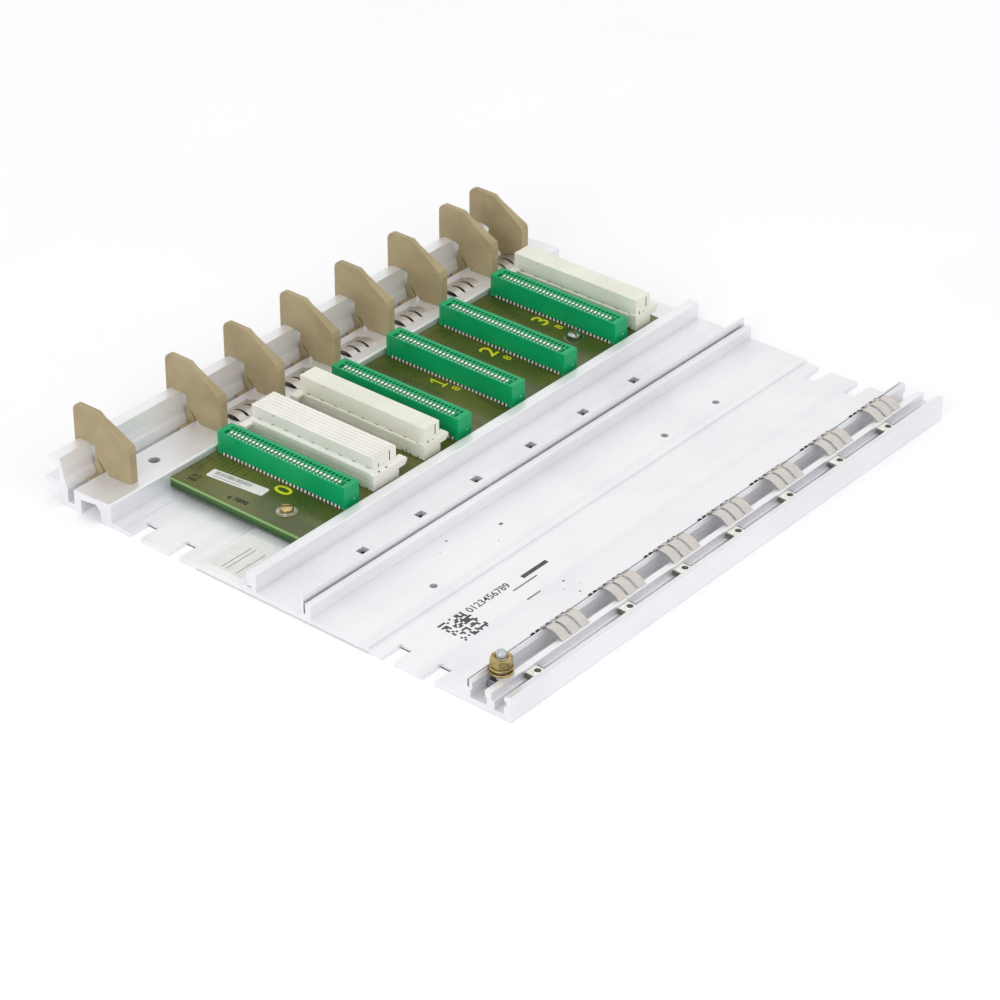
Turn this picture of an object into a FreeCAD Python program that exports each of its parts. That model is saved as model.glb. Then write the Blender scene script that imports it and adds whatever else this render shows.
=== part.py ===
import FreeCAD, Part
import math
import os
import Sketcher
from types import SimpleNamespace

# Subrack card cage: an extruded aluminium back panel that carries a backplane board with socket
# connectors, contact springs, nut inserts, an earth stud and moulded card guides.
# Sizes are in millimetres. X runs along the rails from the end with the earth stud, Y from the
# lower rail to the guide rail, and Z upwards from the surface that the panel lies on.

# Driving dimensions: alias, value, meaning
DIMENSIONS = [
    # Lower rail, from its outer wall inwards
    ("rail_wall", 4.1, "thickness of the lower rail's outer wall"),
    ("rail_floor", 3.0, "floor under the nut groove"),
    ("nut_slot_depth", 4.4, "slot under the nuts, from the floor to their seat"),
    ("nut_undercut", 1.2, "undercut of the nut groove in the outer wall"),
    ("nut_undercut_height", 3.0, "height of that undercut"),
    ("wall_lip", 2.4, "outer wall above the undercut, at its inner edge"),
    ("wall_slope", 1.4, "rise of the outer wall's top to its outer edge"),
    ("nut_mouth", 7.7, "width of the nut groove's mouth"),
    ("nut_ledge", 1.9, "width of the ledge that the nuts sit on"),
    ("nut_step", 0.3, "step at the foot of the undercut"),
    ("land", 3.8, "land between the nut groove and the tee slot"),
    ("land_rise", 4.0, "land above the nut seat"),
    ("tee_neck", 7.8, "width of the tee slot's neck"),
    ("tee_side", 1.0, "undercut on each side of the tee slot"),
    ("tee_floor", 3.5, "floor under the tee slot"),
    ("tee_foot", 4.2, "height of the tee slot's foot"),
    ("lip", 1.6, "thickness of the lip behind the tee slot"),
    ("lip_flat", 0.5, "flat top of that lip"),
    ("lip_rise", 2.0, "lip above the land"),
    ("slit", 1.2, "width of the slit that holds the lower springs"),
    ("slit_depth", 4.6, "depth of the slit"),
    ("shoulder", 1.0, "width of the shoulder behind the slit"),
    ("shoulder_drop", 0.6, "shoulder below the lip"),
    ("slope_run", 6.3, "run of the slope down to the plate"),
    # Plates and ribs
    ("lower_run", 53.4, "lower plate, from the slope to the step"),
    ("lower_plate", 2.2, "thickness of the lower plate"),
    ("middle_lift", 0.6, "underside of the middle plate above the surface"),
    ("middle_plate", 3.0, "thickness of the middle plate"),
    ("middle_run", 36.7, "middle plate, from the step to the second rib"),
    ("bar_thick", 3.5, "thickness of the second rib's bar"),
    ("bar_height", 7.4, "height of that bar above the plate"),
    ("rib_groove", 1.1, "groove in the second rib"),
    ("rib_groove_rise", 1.2, "floor of that groove above the plate"),
    ("rib_lip", 1.8, "rear lip of the second rib"),
    ("rib_lip_height", 11.0, "height of that lip above the plate"),
    ("channel", 29.1, "width of the channel between the ribs"),
    ("rib", 6.4, "thickness of the first rib"),
    ("rib_height", 9.8, "height of the first rib above the plate"),
    ("rib_round", 0.6, "rounding of the ribs' top edges"),
    ("foot_reach", 2.9, "reach of the ledge under the board's edge"),
    ("foot_rise", 1.2, "height of that ledge above the plate"),
    ("foot_slit", 0.6, "height of the slit above that ledge"),
    ("foot_slit_depth", 3.1, "depth of that slit in the first rib"),
    ("thin_run", 58.2, "thin plate, from the step under the board to the nose"),
    ("thin_plate", 2.4, "thickness of the thin plate"),
    ("ledge_run", 8.3, "width of the ledge at the nose"),
    ("ledge_rise", 0.6, "height of that ledge above the thin plate"),
    # Guide rail
    ("nose", 7.7, "thickness of the platform's nose"),
    ("nose_height", 10.9, "height of the nose above the thin plate"),
    ("nose_round", 1.2, "rounding of the nose's top edge"),
    ("platform_drop", 1.4, "fall of the platform from the nose to the clip groove"),
    ("cavity", 13.5, "width of the cavity under the platform"),
    ("cavity_front", 6.4, "height of the cavity at the nose"),
    ("cavity_bevel", 2.7, "run of the bevel in the cavity's corner"),
    ("cavity_rise", 2.9, "rise of that bevel"),
    ("cavity_fall", 1.3, "fall of the cavity's roof towards the leg"),
    ("leg_wall", 4.9, "wall between the cavity and the clip groove"),
    ("clip_groove", 4.4, "width of the clip groove"),
    ("clip_floor", 3.3, "floor under the clip groove"),
    ("web_foot", 3.5, "thickness of the web's foot behind the clip groove"),
    ("web_flare", 2.1, "outward slope of the web's outer face"),
    ("web_bead", 6.8, "height of the web's foot above the groove's floor"),
    ("web_knee", 4.4, "height of the web's first bend"),
    ("web_knee_out", 1.4, "outward step of that bend"),
    ("web_waist", 1.4, "height of the web's second bend"),
    ("web_waist_out", 0.7, "outward step of that bend"),
    ("web_bulge", 4.2, "height of the web's bulge"),
    ("web_bulge_out", 0.5, "outward step of the bulge"),
    ("head_rise", 6.8, "rise from the bulge to the top of the rail's head"),
    ("head_out", 1.8, "outward slope up to the head"),
    ("head_reach", 7.4, "reach of the head outwards"),
    ("head_thick", 2.4, "thickness of the head"),
    ("head_round", 1.1, "rounding of the head's edge"),
    ("shelf_under", 10.5, "underside of the outer shelf above the surface"),
    ("shelf_thick", 2.4, "thickness of the outer shelf"),
    ("shelf_reach", 9.6, "reach of the outer shelf"),
    # Slots along the rails
    ("slot_pitch", 43.24, "pitch of the module slots"),
    ("slot_count", 7, "number of module slots"),
    ("first_slot", 61.6, "centre of the first slot from the near end"),
    ("end_margin", 31.96, "centre of the last slot to the far end"),
    ("window_offset", 0.8, "windows in the channel before the slots' centres"),
    ("window_length", 5.6, "windows in the channel, along the rails"),
    ("window_width", 4.4, "windows in the channel, across the rails"),
    ("plate_hole", 4.0, "diameter of the holes in the middle plate"),
    ("plate_hole_set", 10.6, "those holes from the step in the plate"),
    ("plate_hole_1", 59.3, "first of those holes from the near end"),
    ("plate_hole_2", 242.4, "second of those holes from the near end"),
    ("plate_hole_3", 286.5, "third of those holes from the near end"),
    ("platform_hole", 6.2, "diameter of the hole in the platform"),
    ("platform_hole_x", 45.5, "that hole from the near end"),
    ("platform_hole_set", 14.5, "that hole from the nose"),
    ("notch_depth", 13.5, "depth of the mounting notches in the ends"),
    ("notch_width", 7.6, "width of the mounting notches"),
    ("notch_set", 16.2, "lowest mounting notch from the foot of the slope"),
    ("notch_gap_low", 24.8, "between the two lower notches"),
    ("notch_set_high", 16.8, "highest mounting notch from the nose"),
    ("notch_gap_high", 26.5, "between the two upper notches"),
    # Backplane board
    ("board_gap", 1.5, "board to the first rib"),
    ("board_edge", 1.2, "board's front edge to the socket rows"),
    ("board_tail", 1.8, "socket rows to the board's rear edge"),
    ("board_play", 0.3, "board's rear edge to the nose"),
    ("board_left", 19.6, "board's near end before the first slot's centre"),
    ("board_right", 9.0, "board's far end past the last slot's centre"),
    ("board_sheet", 2.0, "thickness of the pale lower sheet"),
    ("board_thick", 3.2, "thickness of the board"),
    ("screw_set", 23.5, "board screws from the board's front edge"),
    ("screw_left", 5.6, "first board screw before the first slot's centre"),
    ("screw_right", 5.7, "second board screw past the sixth slot's centre"),
    ("screw_shank", 4.0, "diameter of the board screws"),
    ("screw_play", 0.2, "play of the screws in their holes, on the radius"),
    ("screw_head", 7.4, "diameter of the screw heads"),
    ("screw_head_height", 2.2, "height of the screw heads"),
    ("screw_slot", 1.1, "width of the screw slots"),
    ("washer_wide", 9.6, "diameter of the washers under the screws"),
    ("washer_thick", 0.8, "thickness of those washers"),
    ("spacer_wide", 8.0, "spacers under the board across their flats"),
    # Green sockets
    ("contact_pitch", 2.54, "pitch of the contacts"),
    ("contact_count", 32, "contacts in a row"),
    ("socket_end", 2.86, "end wall of a green socket"),
    ("socket_width", 10.5, "width of a green socket"),
    ("socket_height", 13.0, "height of a green socket"),
    ("socket_offset", 12.9, "green socket's near face past its slot's centre"),
    ("near_opening", 4.0, "width of the near row's channel"),
    ("far_opening", 2.2, "width of the openings of the far row"),
    ("opening_wall", 1.3, "outer wall of the openings"),
    ("opening_length", 1.7, "length of the far row's openings"),
    ("opening_depth", 5.0, "depth of each opening"),
    ("blade_width", 2.8, "width of a contact blade"),
    ("blade_thick", 0.9, "thickness of a contact blade"),
    ("blade_sunk", 0.4, "contact blade below the socket's top"),
    ("tail_relief", 1.3, "relief along the socket's foot for the solder tails"),
    # Cream sockets
    ("cream_front", 1.1, "cream sockets behind the green sockets' front"),
    ("cream_back", 1.1, "cream sockets' far end to the board's rear edge"),
    ("cream_height", 18.0, "height of the cream sockets"),
    ("wide_x", 7.9, "wide cream socket before the second slot's centre"),
    ("wide_width", 19.4, "width of the wide cream socket"),
    ("wide_base", 11.2, "height of the wide socket's base"),
    ("wide_inset", 1.9, "step on the wide socket's near side"),
    ("wide_setback", 1.9, "upper body from the ends of the wide socket's base"),
    ("narrow_x_1", 12.3, "first narrow cream socket before the third slot's centre"),
    ("narrow_x_2", 10.7, "second narrow cream socket before the last slot's centre"),
    ("narrow_width", 12.6, "width of the narrow cream sockets"),
    ("narrow_base", 8.4, "height of the narrow sockets' base"),
    ("narrow_inset", 0.8, "step on the narrow sockets' near side"),
    ("narrow_setback", 0.8, "upper body from the ends of the narrow sockets' base"),
    ("ear_reach", 6.2, "reach of the ears on the cream sockets"),
    ("ear_width", 4.6, "width of the ears"),
    ("ear_level", 4.8, "underside of the ears above the board"),
    ("ear_thick", 4.2, "thickness of the ears, which end flush with the base's ends"),
    ("key_row", 2.0, "width of the contact rows' channels"),
    ("key_depth", 1.0, "depth of those channels"),
    ("key_count", 3, "contact rows in a cream socket"),
    ("seam", 0.5, "seam between base and upper body"),
    # Contact springs
    ("spring_thick", 0.4, "thickness of the contact springs"),
    ("spring_width", 20.6, "width of a contact spring"),
    ("finger_gap", 1.7, "gap between the fingers"),
    ("finger_count", 3, "fingers on a spring"),
    ("arch_flats", 5, "flats along a spring's arch"),
    ("spring_offset", 2.0, "lower spring's centre past the slot's centre"),
    ("spring_tail", 4.0, "tail of the lower spring in the slit"),
    ("spring_rise", 0.5, "lower spring's shoulder above the lip"),
    ("spring_toe", 12.6, "lower spring's reach from the slit to its toe"),
    ("spring_arch", 2.5, "rise of the lower spring's arch"),
    ("clip_offset", 5.4, "upper spring's centre past the slot's centre"),
    ("clip_band", 2.6, "flat band of the upper spring"),
    ("clip_reach", 11.6, "arch of the upper spring across the platform"),
    ("clip_arch", 2.1, "rise of the upper spring's arch"),
    ("clip_set", 6.3, "upper spring's toe from the nose"),
    ("clip_width", 19.4, "width of an upper spring"),
    ("clip_window_set", 0.4, "window under the upper spring from the cavity's edge"),
    ("clip_window", 9.6, "window under the upper spring, across the rail"),
    ("clip_window_side", 0.8, "window past the upper spring's sides"),
    ("clip_clear", 0.42, "last upper spring to the guide on each side of it"),
    # Nut inserts and earth stud
    ("nut_length", 9.4, "length of the nut inserts"),
    ("nut_thick", 2.8, "thickness of the nut inserts' plate"),
    ("nut_boss", 5.4, "their threaded boss across its flats"),
    ("nut_boss_height", 0.9, "height of that boss"),
    ("nut_thread", 3.3, "diameter of their thread"),
    ("nut_play", 0.1, "play of the nut inserts in their groove"),
    ("first_nut", 28.1, "first nut insert from the near end"),
    ("nut_offset", 7.5, "the other nut inserts before the slots' centres"),
    ("stud_x", 16.5, "earth stud from the near end"),
    ("stud_thread", 6.0, "diameter of the earth stud"),
    ("stud_head", 9.2, "width of the square head in the tee slot"),
    ("stud_head_height", 3.6, "height of that head"),
    ("stud_above", 9.9, "earth stud above the land"),
    ("earth_nut", 10.0, "earth nut across its flats"),
    ("earth_nut_height", 4.8, "height of the earth nut"),
    ("earth_washer", 11.8, "diameter of the earth washers"),
    ("earth_washer_thick", 1.1, "thickness of the earth washers"),
    ("spring_washer", 9.8, "diameter of the spring washer"),
    ("spring_washer_thick", 1.4, "thickness of the spring washer"),
    ("spring_washer_cut", 1.0, "cut in the spring washer"),
    ("spot_play", 0.4, "spot face round the earth washers, on the radius"),
    ("thread_play", 0.15, "play round the earth stud, on the radius"),
    # Card guides
    ("guide_thin", 2.6, "thickness of a guide"),
    ("guide_front", 5.8, "thickness of a guide at its front edge"),
    ("guide_flare", 17.0, "length of the flare to the front edge"),
    ("guide_set", 6.3, "guide's front edge from the nose"),
    ("guide_above", 20.1, "guides above the rail's head"),
    ("guide_front_height", 17.1, "height of a guide's front edge"),
    ("guide_chin_run", 1.2, "run of the bevel over the front edge"),
    ("guide_chin", 3.5, "rise of that bevel"),
    ("guide_slope_run", 19.5, "run of a guide's slope"),
    ("guide_round", 5.0, "rounding of a guide's rear top corner"),
    ("guide_edge", 0.9, "rounding of a guide's front edge"),
    ("guide_heel", 4.6, "guide's heel before the clip groove"),
    ("guide_notch", 0.8, "root of the clip finger before the web's foot"),
    ("guide_notch_drop", 1.4, "notch's upper bend below the head's top"),
    ("guide_rest", 0.7, "guide's seat on the head before the head's flat"),
    ("guide_play", 0.15, "play between a guide and the rail"),
    ("guide_back", 2.4, "guide behind the rail's head"),
    ("guide_tail", 4.6, "guide's tail below the head's top"),
    ("guide_barb", 1.2, "barb under the rail's head"),
    ("guide_barb_slope", 0.6, "rise of the barb's underside to its tip"),
    ("first_guide", 20.4, "first guide's near face from the near end"),
    ("guide_offset", 24.4, "the next guides' near faces past the slots' centres"),
    ("clip_play", 0.2, "play of the clip foot in its groove"),
    ("finger_knee", 3.3, "height of the clip finger's bend above the foot"),
    ("finger_lean", 0.4, "backward lean of the clip finger up to that bend"),
    ("clip_foot", 7.4, "reach of a guide's clip foot beside the guide"),
    ("clip_foot_height", 8.2, "height of the clip foot"),
    ("clip_foot_bevel", 1.2, "bevel along the clip foot's front"),
]

DOC = FreeCAD.newDocument("card_cage")
SHEET = DOC.addObject("Spreadsheet::Sheet", "sizes")
for row, (alias, value, meaning) in enumerate(DIMENSIONS, start=1):
    SHEET.set("A%d" % row, meaning)
    SHEET.set("B%d" % row, str(value))
    SHEET.setAlias("B%d" % row, alias)
DOC.recompute()


class Size:
    """A length together with the sheet expression that gives it."""

    def __init__(self, value, text):
        self.value = float(value)
        self.text = text

    def __add__(self, other):
        other = as_size(other)
        return Size(self.value + other.value, "(%s + %s)" % (self.text, other.text))

    def __sub__(self, other):
        other = as_size(other)
        return Size(self.value - other.value, "(%s - %s)" % (self.text, other.text))

    def __mul__(self, other):
        other = as_size(other)
        return Size(self.value * other.value, "%s * %s" % (self.text, other.text))

    def __truediv__(self, other):
        other = as_size(other)
        return Size(self.value / other.value, "%s / %s" % (self.text, other.text))


def as_size(amount):
    """Let plain numbers stand beside sizes from the sheet."""
    return amount if isinstance(amount, Size) else Size(amount, str(amount))


d = SimpleNamespace(**{alias: Size(value, "sizes." + alias) for alias, value, meaning in DIMENSIONS})
ZERO = as_size(0)
NODES = []

# Stations across the panel, chained from the lower rail's outer face
y_nut = d.rail_wall + d.nut_mouth
y_tee = y_nut + d.land
y_lip = y_tee + d.tee_neck
y_slit = y_lip + d.lip
y_shoulder = y_slit + d.slit
y_slope = y_shoulder + d.shoulder
y_lower = y_slope + d.slope_run
y_step = y_lower + d.lower_run
y_bar = y_step + d.middle_run
y_groove = y_bar + d.bar_thick
y_rib_lip = y_groove + d.rib_groove
y_channel = y_rib_lip + d.rib_lip
y_rib = y_channel + d.channel
y_rib_back = y_rib + d.rib
y_board = y_rib_back + d.board_gap
y_socket = y_board + d.board_edge
socket_length = d.contact_pitch * d.contact_count + d.socket_end * 2
board_depth = d.board_edge + socket_length + d.board_tail
y_nose = y_board + board_depth + d.board_play
y_thin = y_nose - d.thin_run
y_cavity = y_nose + d.nose
y_leg = y_cavity + d.cavity
y_clip = y_leg + d.leg_wall
y_web = y_clip + d.clip_groove
y_web_foot = y_web + d.web_foot
y_web_out = y_web_foot + d.web_flare
y_head = y_web + d.web_knee_out + d.web_waist_out + d.web_bulge_out + d.head_out
y_head_tip = y_head + d.head_reach
panel_depth = y_web_out + d.shelf_reach
stud_y = (y_tee + y_lip) / 2

# Levels above the surface
z_nut = d.rail_floor + d.nut_slot_depth
z_undercut = z_nut + d.nut_undercut_height
z_wall = z_undercut + d.wall_lip
z_rail = z_wall + d.wall_slope
z_land = z_nut + d.land_rise
z_tee = d.tee_floor + d.tee_foot
z_lip = z_land + d.lip_rise
z_slit = z_lip - d.slit_depth
z_shoulder = z_lip - d.shoulder_drop
z_middle = d.middle_lift + d.middle_plate
z_foot = z_middle + d.foot_rise
z_ledge = d.thin_plate + d.ledge_rise
z_nose = d.thin_plate + d.nose_height
z_platform = z_nose - d.platform_drop
z_crown = d.cavity_front + d.cavity_rise
z_bead = d.clip_floor + d.web_bead
z_knee = z_bead + d.web_knee
z_waist = z_knee + d.web_waist
z_bulge = z_waist + d.web_bulge
z_head = z_bulge + d.head_rise
z_shelf = d.shelf_under + d.shelf_thick
z_board = z_foot + d.board_sheet
z_socket = z_board + d.board_thick

# Stations along the rails
panel_width = d.first_slot + d.slot_pitch * (d.slot_count - 1) + d.end_margin
board_left = d.first_slot - d.board_left
board_length = d.board_left + d.slot_pitch * (d.slot_count - 1) + d.board_right
screw_y = y_board + d.screw_set
clip_slot = d.clip_width + d.clip_window_side * 2

# Slots that hold a green socket, counted from 0 at the near end
GREEN_SLOTS = (0, 2, 3, 4, 5)


def slot_centre(index):
    return d.first_slot + d.slot_pitch * index


def screw_centres():
    return [slot_centre(0) - d.screw_left, slot_centre(d.slot_count - 2) + d.screw_right]


def clip_centres():
    """Centres of the upper springs: every slot but the first, the last one beside its guide."""
    inner = [slot_centre(index) + d.clip_offset for index in range(1, int(d.slot_count.value) - 1)]
    beside = slot_centre(d.slot_count - 2) + d.guide_offset + d.guide_front + d.clip_clear
    return inner + [beside + d.clip_width / 2]


def guide_faces():
    """Near faces of the guides; the last one stands beside the last upper spring."""
    inner = [slot_centre(index) + d.guide_offset for index in range(int(d.slot_count.value) - 1)]
    return [d.first_guide] + inner + [clip_centres()[-1] + d.clip_width / 2 + d.clip_clear]


def platform_height(y):
    """Top of the platform, which falls from the nose to the clip groove."""
    return z_nose - d.platform_drop * (y - y_nose) / (y_clip - y_nose)


def new_body(name):
    body = DOC.addObject("PartDesign::Body", name)
    body.Label = name
    return body


def place(piece, x, y, z):
    """Put a piece at a station of the panel; the frame's origin is under the panel's middle."""
    piece.setExpression("Placement.Base.x", (x - panel_width / 2).text)
    piece.setExpression("Placement.Base.y", (y - panel_depth / 2).text)
    piece.setExpression("Placement.Base.z", as_size(z).text)


def keep(piece, x=ZERO, y=ZERO, z=ZERO):
    """Place a sub-part and list it as one of the part's nodes."""
    place(piece, x, y, z)
    NODES.append(piece)
    return piece


def repeat(source, name, x, y, z):
    """The same piece once more, at another place."""
    link = DOC.addObject("App::Link", name)
    link.LinkedObject = source
    link.Label = name
    place(link, x, y, z)
    return link


def new_sketch(body, name, role):
    sketch = body.newObject("Sketcher::SketchObject", name)
    plane = [feature for feature in body.Origin.OriginFeatures if feature.Role == role][0]
    sketch.AttachmentSupport = [(plane, "")]
    sketch.MapMode = "FlatFace"
    return sketch


def pin_point(sketch, edge, end, u, v):
    """Hold one end of an edge at a place given by the sheet."""
    for kind, size in (("DistanceX", u), ("DistanceY", v)):
        number = sketch.addConstraint(Sketcher.Constraint(kind, -1, 1, edge, end, size.value))
        sketch.setExpression("Constraints[%d]" % number, size.text)


def arc_edge(start, end, radius, turn):
    """A short arc from start to end, anticlockwise for a turn of 1 and clockwise for -1."""
    a = FreeCAD.Vector(start[0].value, start[1].value, 0)
    b = FreeCAD.Vector(end[0].value, end[1].value, 0)
    chord = b - a
    rise = math.sqrt(radius.value ** 2 - (chord.Length / 2) ** 2)
    side = FreeCAD.Vector(-chord.y, chord.x, 0).normalize()
    centre = (a + b) * 0.5 + side * (rise * turn)
    first, last = (a, b) if turn > 0 else (b, a)
    circle = Part.Circle(centre, FreeCAD.Vector(0, 0, 1), radius.value)
    from_angle = math.atan2(first.y - centre.y, first.x - centre.x)
    to_angle = math.atan2(last.y - centre.y, last.x - centre.x)
    if to_angle < from_angle:
        to_angle += 2 * math.pi
    return Part.ArcOfCircle(circle, from_angle, to_angle)


def draw_loop(sketch, corners):
    """A closed outline; a corner (u, v, radius, turn) is reached by an arc instead of a line."""
    for index, corner in enumerate(corners):
        before = corners[index - 1]
        start = (as_size(before[0]), as_size(before[1]))
        end = (as_size(corner[0]), as_size(corner[1]))
        forward = True
        if len(corner) == 4:
            radius, turn = corner[2], corner[3]
            forward = turn > 0
            edge = sketch.addGeometry(arc_edge(start, end, radius, turn), False)
            number = sketch.addConstraint(Sketcher.Constraint("Radius", edge, radius.value))
            sketch.setExpression("Constraints[%d]" % number, radius.text)
        else:
            from_point = FreeCAD.Vector(start[0].value, start[1].value, 0)
            to_point = FreeCAD.Vector(end[0].value, end[1].value, 0)
            edge = sketch.addGeometry(Part.LineSegment(from_point, to_point), False)
        pin_point(sketch, edge, 1 if forward else 2, start[0], start[1])
        pin_point(sketch, edge, 2 if forward else 1, end[0], end[1])


def draw_box(sketch, u, v, length, width):
    draw_loop(sketch, [(u, v), (u + length, v), (u + length, v + width), (u, v + width)])


def draw_circle(sketch, u, v, diameter):
    centre = FreeCAD.Vector(u.value, v.value, 0)
    circle = Part.Circle(centre, FreeCAD.Vector(0, 0, 1), diameter.value / 2)
    edge = sketch.addGeometry(circle, False)
    pin_point(sketch, edge, 3, u, v)
    number = sketch.addConstraint(Sketcher.Constraint("Diameter", edge, diameter.value))
    sketch.setExpression("Constraints[%d]" % number, diameter.text)


def pad(body, name, sketch, length, lift=None):
    """Raise a sketch to a solid; lift starts it that far from the sketch's plane."""
    if lift is not None:
        sketch.setExpression("AttachmentOffset.Base.z", lift.text)
    feature = body.newObject("PartDesign::Pad", name)
    feature.Profile = sketch
    feature.setExpression("Length", length.text)
    DOC.recompute()
    return feature


def pocket(body, name, sketch, depth=None, top=None):
    """Cut a sketch right through the body, or down to a depth from a given top."""
    before = body.Shape.Volume
    if top is not None:
        sketch.setExpression("AttachmentOffset.Base.z", top.text)
    feature = body.newObject("PartDesign::Pocket", name)
    feature.Profile = sketch
    if depth is None:
        feature.Type = "ThroughAll"
        feature.Reversed = True
    else:
        feature.setExpression("Length", depth.text)
    DOC.recompute()
    if not feature.Shape.Volume < before - 1e-6:
        raise ValueError("%s cuts nothing" % name)
    return feature


def pattern(body, name, feature, direction, pitch, count):
    """Repeat a cut or boss in a row."""
    row = body.newObject("PartDesign::LinearPattern", name)
    row.Originals = [feature]
    row.Direction = direction
    row.Mode = "Extent"
    row.setExpression("Length", (pitch * (count - 1)).text)
    row.setExpression("Occurrences", count.text)
    body.Tip = row
    DOC.recompute()
    return row


def edges_at(shape, places, axis):
    """Names of the straight edges along one axis that stand at the given places."""
    found = []
    others = [index for index in range(3) if index != axis]
    for number, edge in enumerate(shape.Edges, start=1):
        first, last = edge.Vertexes[0].Point, edge.Vertexes[-1].Point
        for place_at in places:
            near = all(
                abs(point[other] - target) < 1e-3
                for point in (first, last)
                for other, target in zip(others, place_at)
            )
            if near and abs(first[axis] - last[axis]) > 1e-3:
                found.append("Edge%d" % number)
    return found


def fillet(body, name, base, edges, radius):
    if not edges:
        raise ValueError("%s finds no edge" % name)
    feature = body.newObject("PartDesign::Fillet", name)
    feature.Base = (base, edges)
    feature.setExpression("Radius", radius.text)
    DOC.recompute()
    return feature


def make_back_panel():
    """The extruded panel: lower rail, plates, ribs, platform and guide rail in one section."""
    body = new_body("back_panel")
    y_undercut = d.rail_wall - d.nut_undercut
    y_nut_slot = d.rail_wall + d.nut_step
    y_ledge_edge = y_nut - d.nut_ledge
    y_ledge = y_nose - d.ledge_run
    y_foot = y_rib_back + d.foot_reach
    y_foot_slit = y_rib_back - d.foot_slit_depth
    z_foot_slit = z_foot + d.foot_slit
    z_rib = z_middle + d.rib_height
    z_rib_lip = z_middle + d.rib_lip_height
    z_rib_groove = z_middle + d.rib_groove_rise
    z_bar = z_middle + d.bar_height
    z_head_under = z_head - d.head_thick
    y_knee = y_web + d.web_knee_out
    y_waist = y_knee + d.web_waist_out
    y_bulge = y_waist + d.web_bulge_out
    underside = [
        (0, 0), (y_step, 0), (y_step, d.middle_lift), (y_thin, d.middle_lift), (y_thin, 0),
        (y_cavity, 0), (y_cavity, d.cavity_front), (y_cavity + d.cavity_bevel, z_crown),
        (y_leg, z_crown - d.cavity_fall), (y_leg, 0), (y_web_foot, 0),
    ]
    guide_rail = [
        (y_web_out, d.shelf_under), (panel_depth, d.shelf_under), (panel_depth, z_shelf),
        (y_web_out, z_shelf), (y_web_out, z_head_under), (y_head_tip, z_head_under),
        (y_head_tip, z_head), (y_head, z_head), (y_bulge, z_bulge), (y_waist, z_waist),
        (y_knee, z_knee), (y_web, z_bead), (y_web, d.clip_floor), (y_clip, d.clip_floor),
        (y_clip, z_platform), (y_nose, z_nose), (y_nose, z_ledge), (y_ledge, z_ledge),
        (y_ledge, d.thin_plate), (y_thin, d.thin_plate), (y_thin, z_middle),
    ]
    ribs = [
        (y_foot, z_middle), (y_foot, z_foot), (y_foot_slit, z_foot), (y_foot_slit, z_foot_slit),
        (y_rib_back, z_foot_slit), (y_rib_back, z_rib), (y_rib, z_rib), (y_rib, z_middle),
        (y_channel, z_middle), (y_channel, z_rib_lip), (y_rib_lip, z_rib_lip),
        (y_rib_lip, z_rib_groove), (y_groove, z_rib_groove), (y_groove, z_bar), (y_bar, z_bar),
        (y_bar, z_middle), (y_step, z_middle), (y_step, d.lower_plate), (y_lower, d.lower_plate),
    ]
    lower_rail = [
        (y_slope, z_shoulder), (y_shoulder, z_shoulder), (y_shoulder, z_slit), (y_slit, z_slit),
        (y_slit, z_lip), (y_slit - d.lip_flat, z_lip), (y_lip, z_land), (y_lip, z_tee),
        (y_lip + d.tee_side, z_tee), (y_lip + d.tee_side, d.tee_floor),
        (y_tee - d.tee_side, d.tee_floor), (y_tee - d.tee_side, z_tee), (y_tee, z_tee),
        (y_tee, z_land), (y_nut, z_land), (y_nut, z_nut), (y_ledge_edge, z_nut),
        (y_ledge_edge, d.rail_floor), (y_nut_slot, d.rail_floor), (y_nut_slot, z_nut),
        (y_undercut, z_nut), (y_undercut, z_undercut), (d.rail_wall, z_undercut),
        (d.rail_wall, z_wall), (0, z_rail),
    ]
    section = new_sketch(body, "panel_section", "YZ_Plane")
    draw_loop(section, underside + guide_rail + ribs + lower_rail)
    extrusion = pad(body, "panel_extrusion", section, panel_width)

    rounds = [(y_rib, z_rib), (y_rib_back, z_rib), (y_bar, z_bar), (y_channel, z_rib_lip)]
    for name, places, radius in (
        ("rib_edges", rounds, d.rib_round),
        ("nose_edge", [(y_nose, z_nose)], d.nose_round),
        ("head_edges", [(y_head_tip, z_head), (y_head_tip, z_head_under)], d.head_round),
    ):
        targets = [(y.value, z.value) for y, z in places]
        extrusion = fillet(body, name, extrusion, edges_at(extrusion.Shape, targets, 0), radius)

    windows = new_sketch(body, "channel_window", "XY_Plane")
    window_x = d.first_slot - d.window_offset - d.window_length / 2
    window_y = y_channel + d.channel / 2 - d.window_width / 2
    draw_box(windows, window_x, window_y, d.window_length, d.window_width)
    window = pocket(body, "channel_window_cut", windows)
    pattern(body, "channel_windows", window, (windows, ["H_Axis"]), d.slot_pitch, d.slot_count - 1)

    openings = new_sketch(body, "clip_windows", "XY_Plane")
    for x in clip_centres():
        draw_box(openings, x - clip_slot / 2, y_cavity + d.clip_window_set, clip_slot, d.clip_window)
    pocket(body, "clip_window_cut", openings)

    holes = new_sketch(body, "round_holes", "XY_Plane")
    for x in (d.plate_hole_1, d.plate_hole_2, d.plate_hole_3):
        draw_circle(holes, x, y_step + d.plate_hole_set, d.plate_hole)
    for x in screw_centres():
        draw_circle(holes, x, screw_y, d.screw_shank + d.screw_play * 2)
    draw_circle(holes, d.platform_hole_x, y_nose + d.platform_hole_set, d.platform_hole)
    pocket(body, "round_holes_cut", holes)

    spot = new_sketch(body, "spot_face", "XY_Plane")
    spot_depth = d.lip_rise + d.spot_play
    draw_circle(spot, d.stud_x, stud_y, d.earth_washer + d.spot_play * 2)
    pocket(body, "spot_face_cut", spot, depth=spot_depth, top=z_land + spot_depth)

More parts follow.
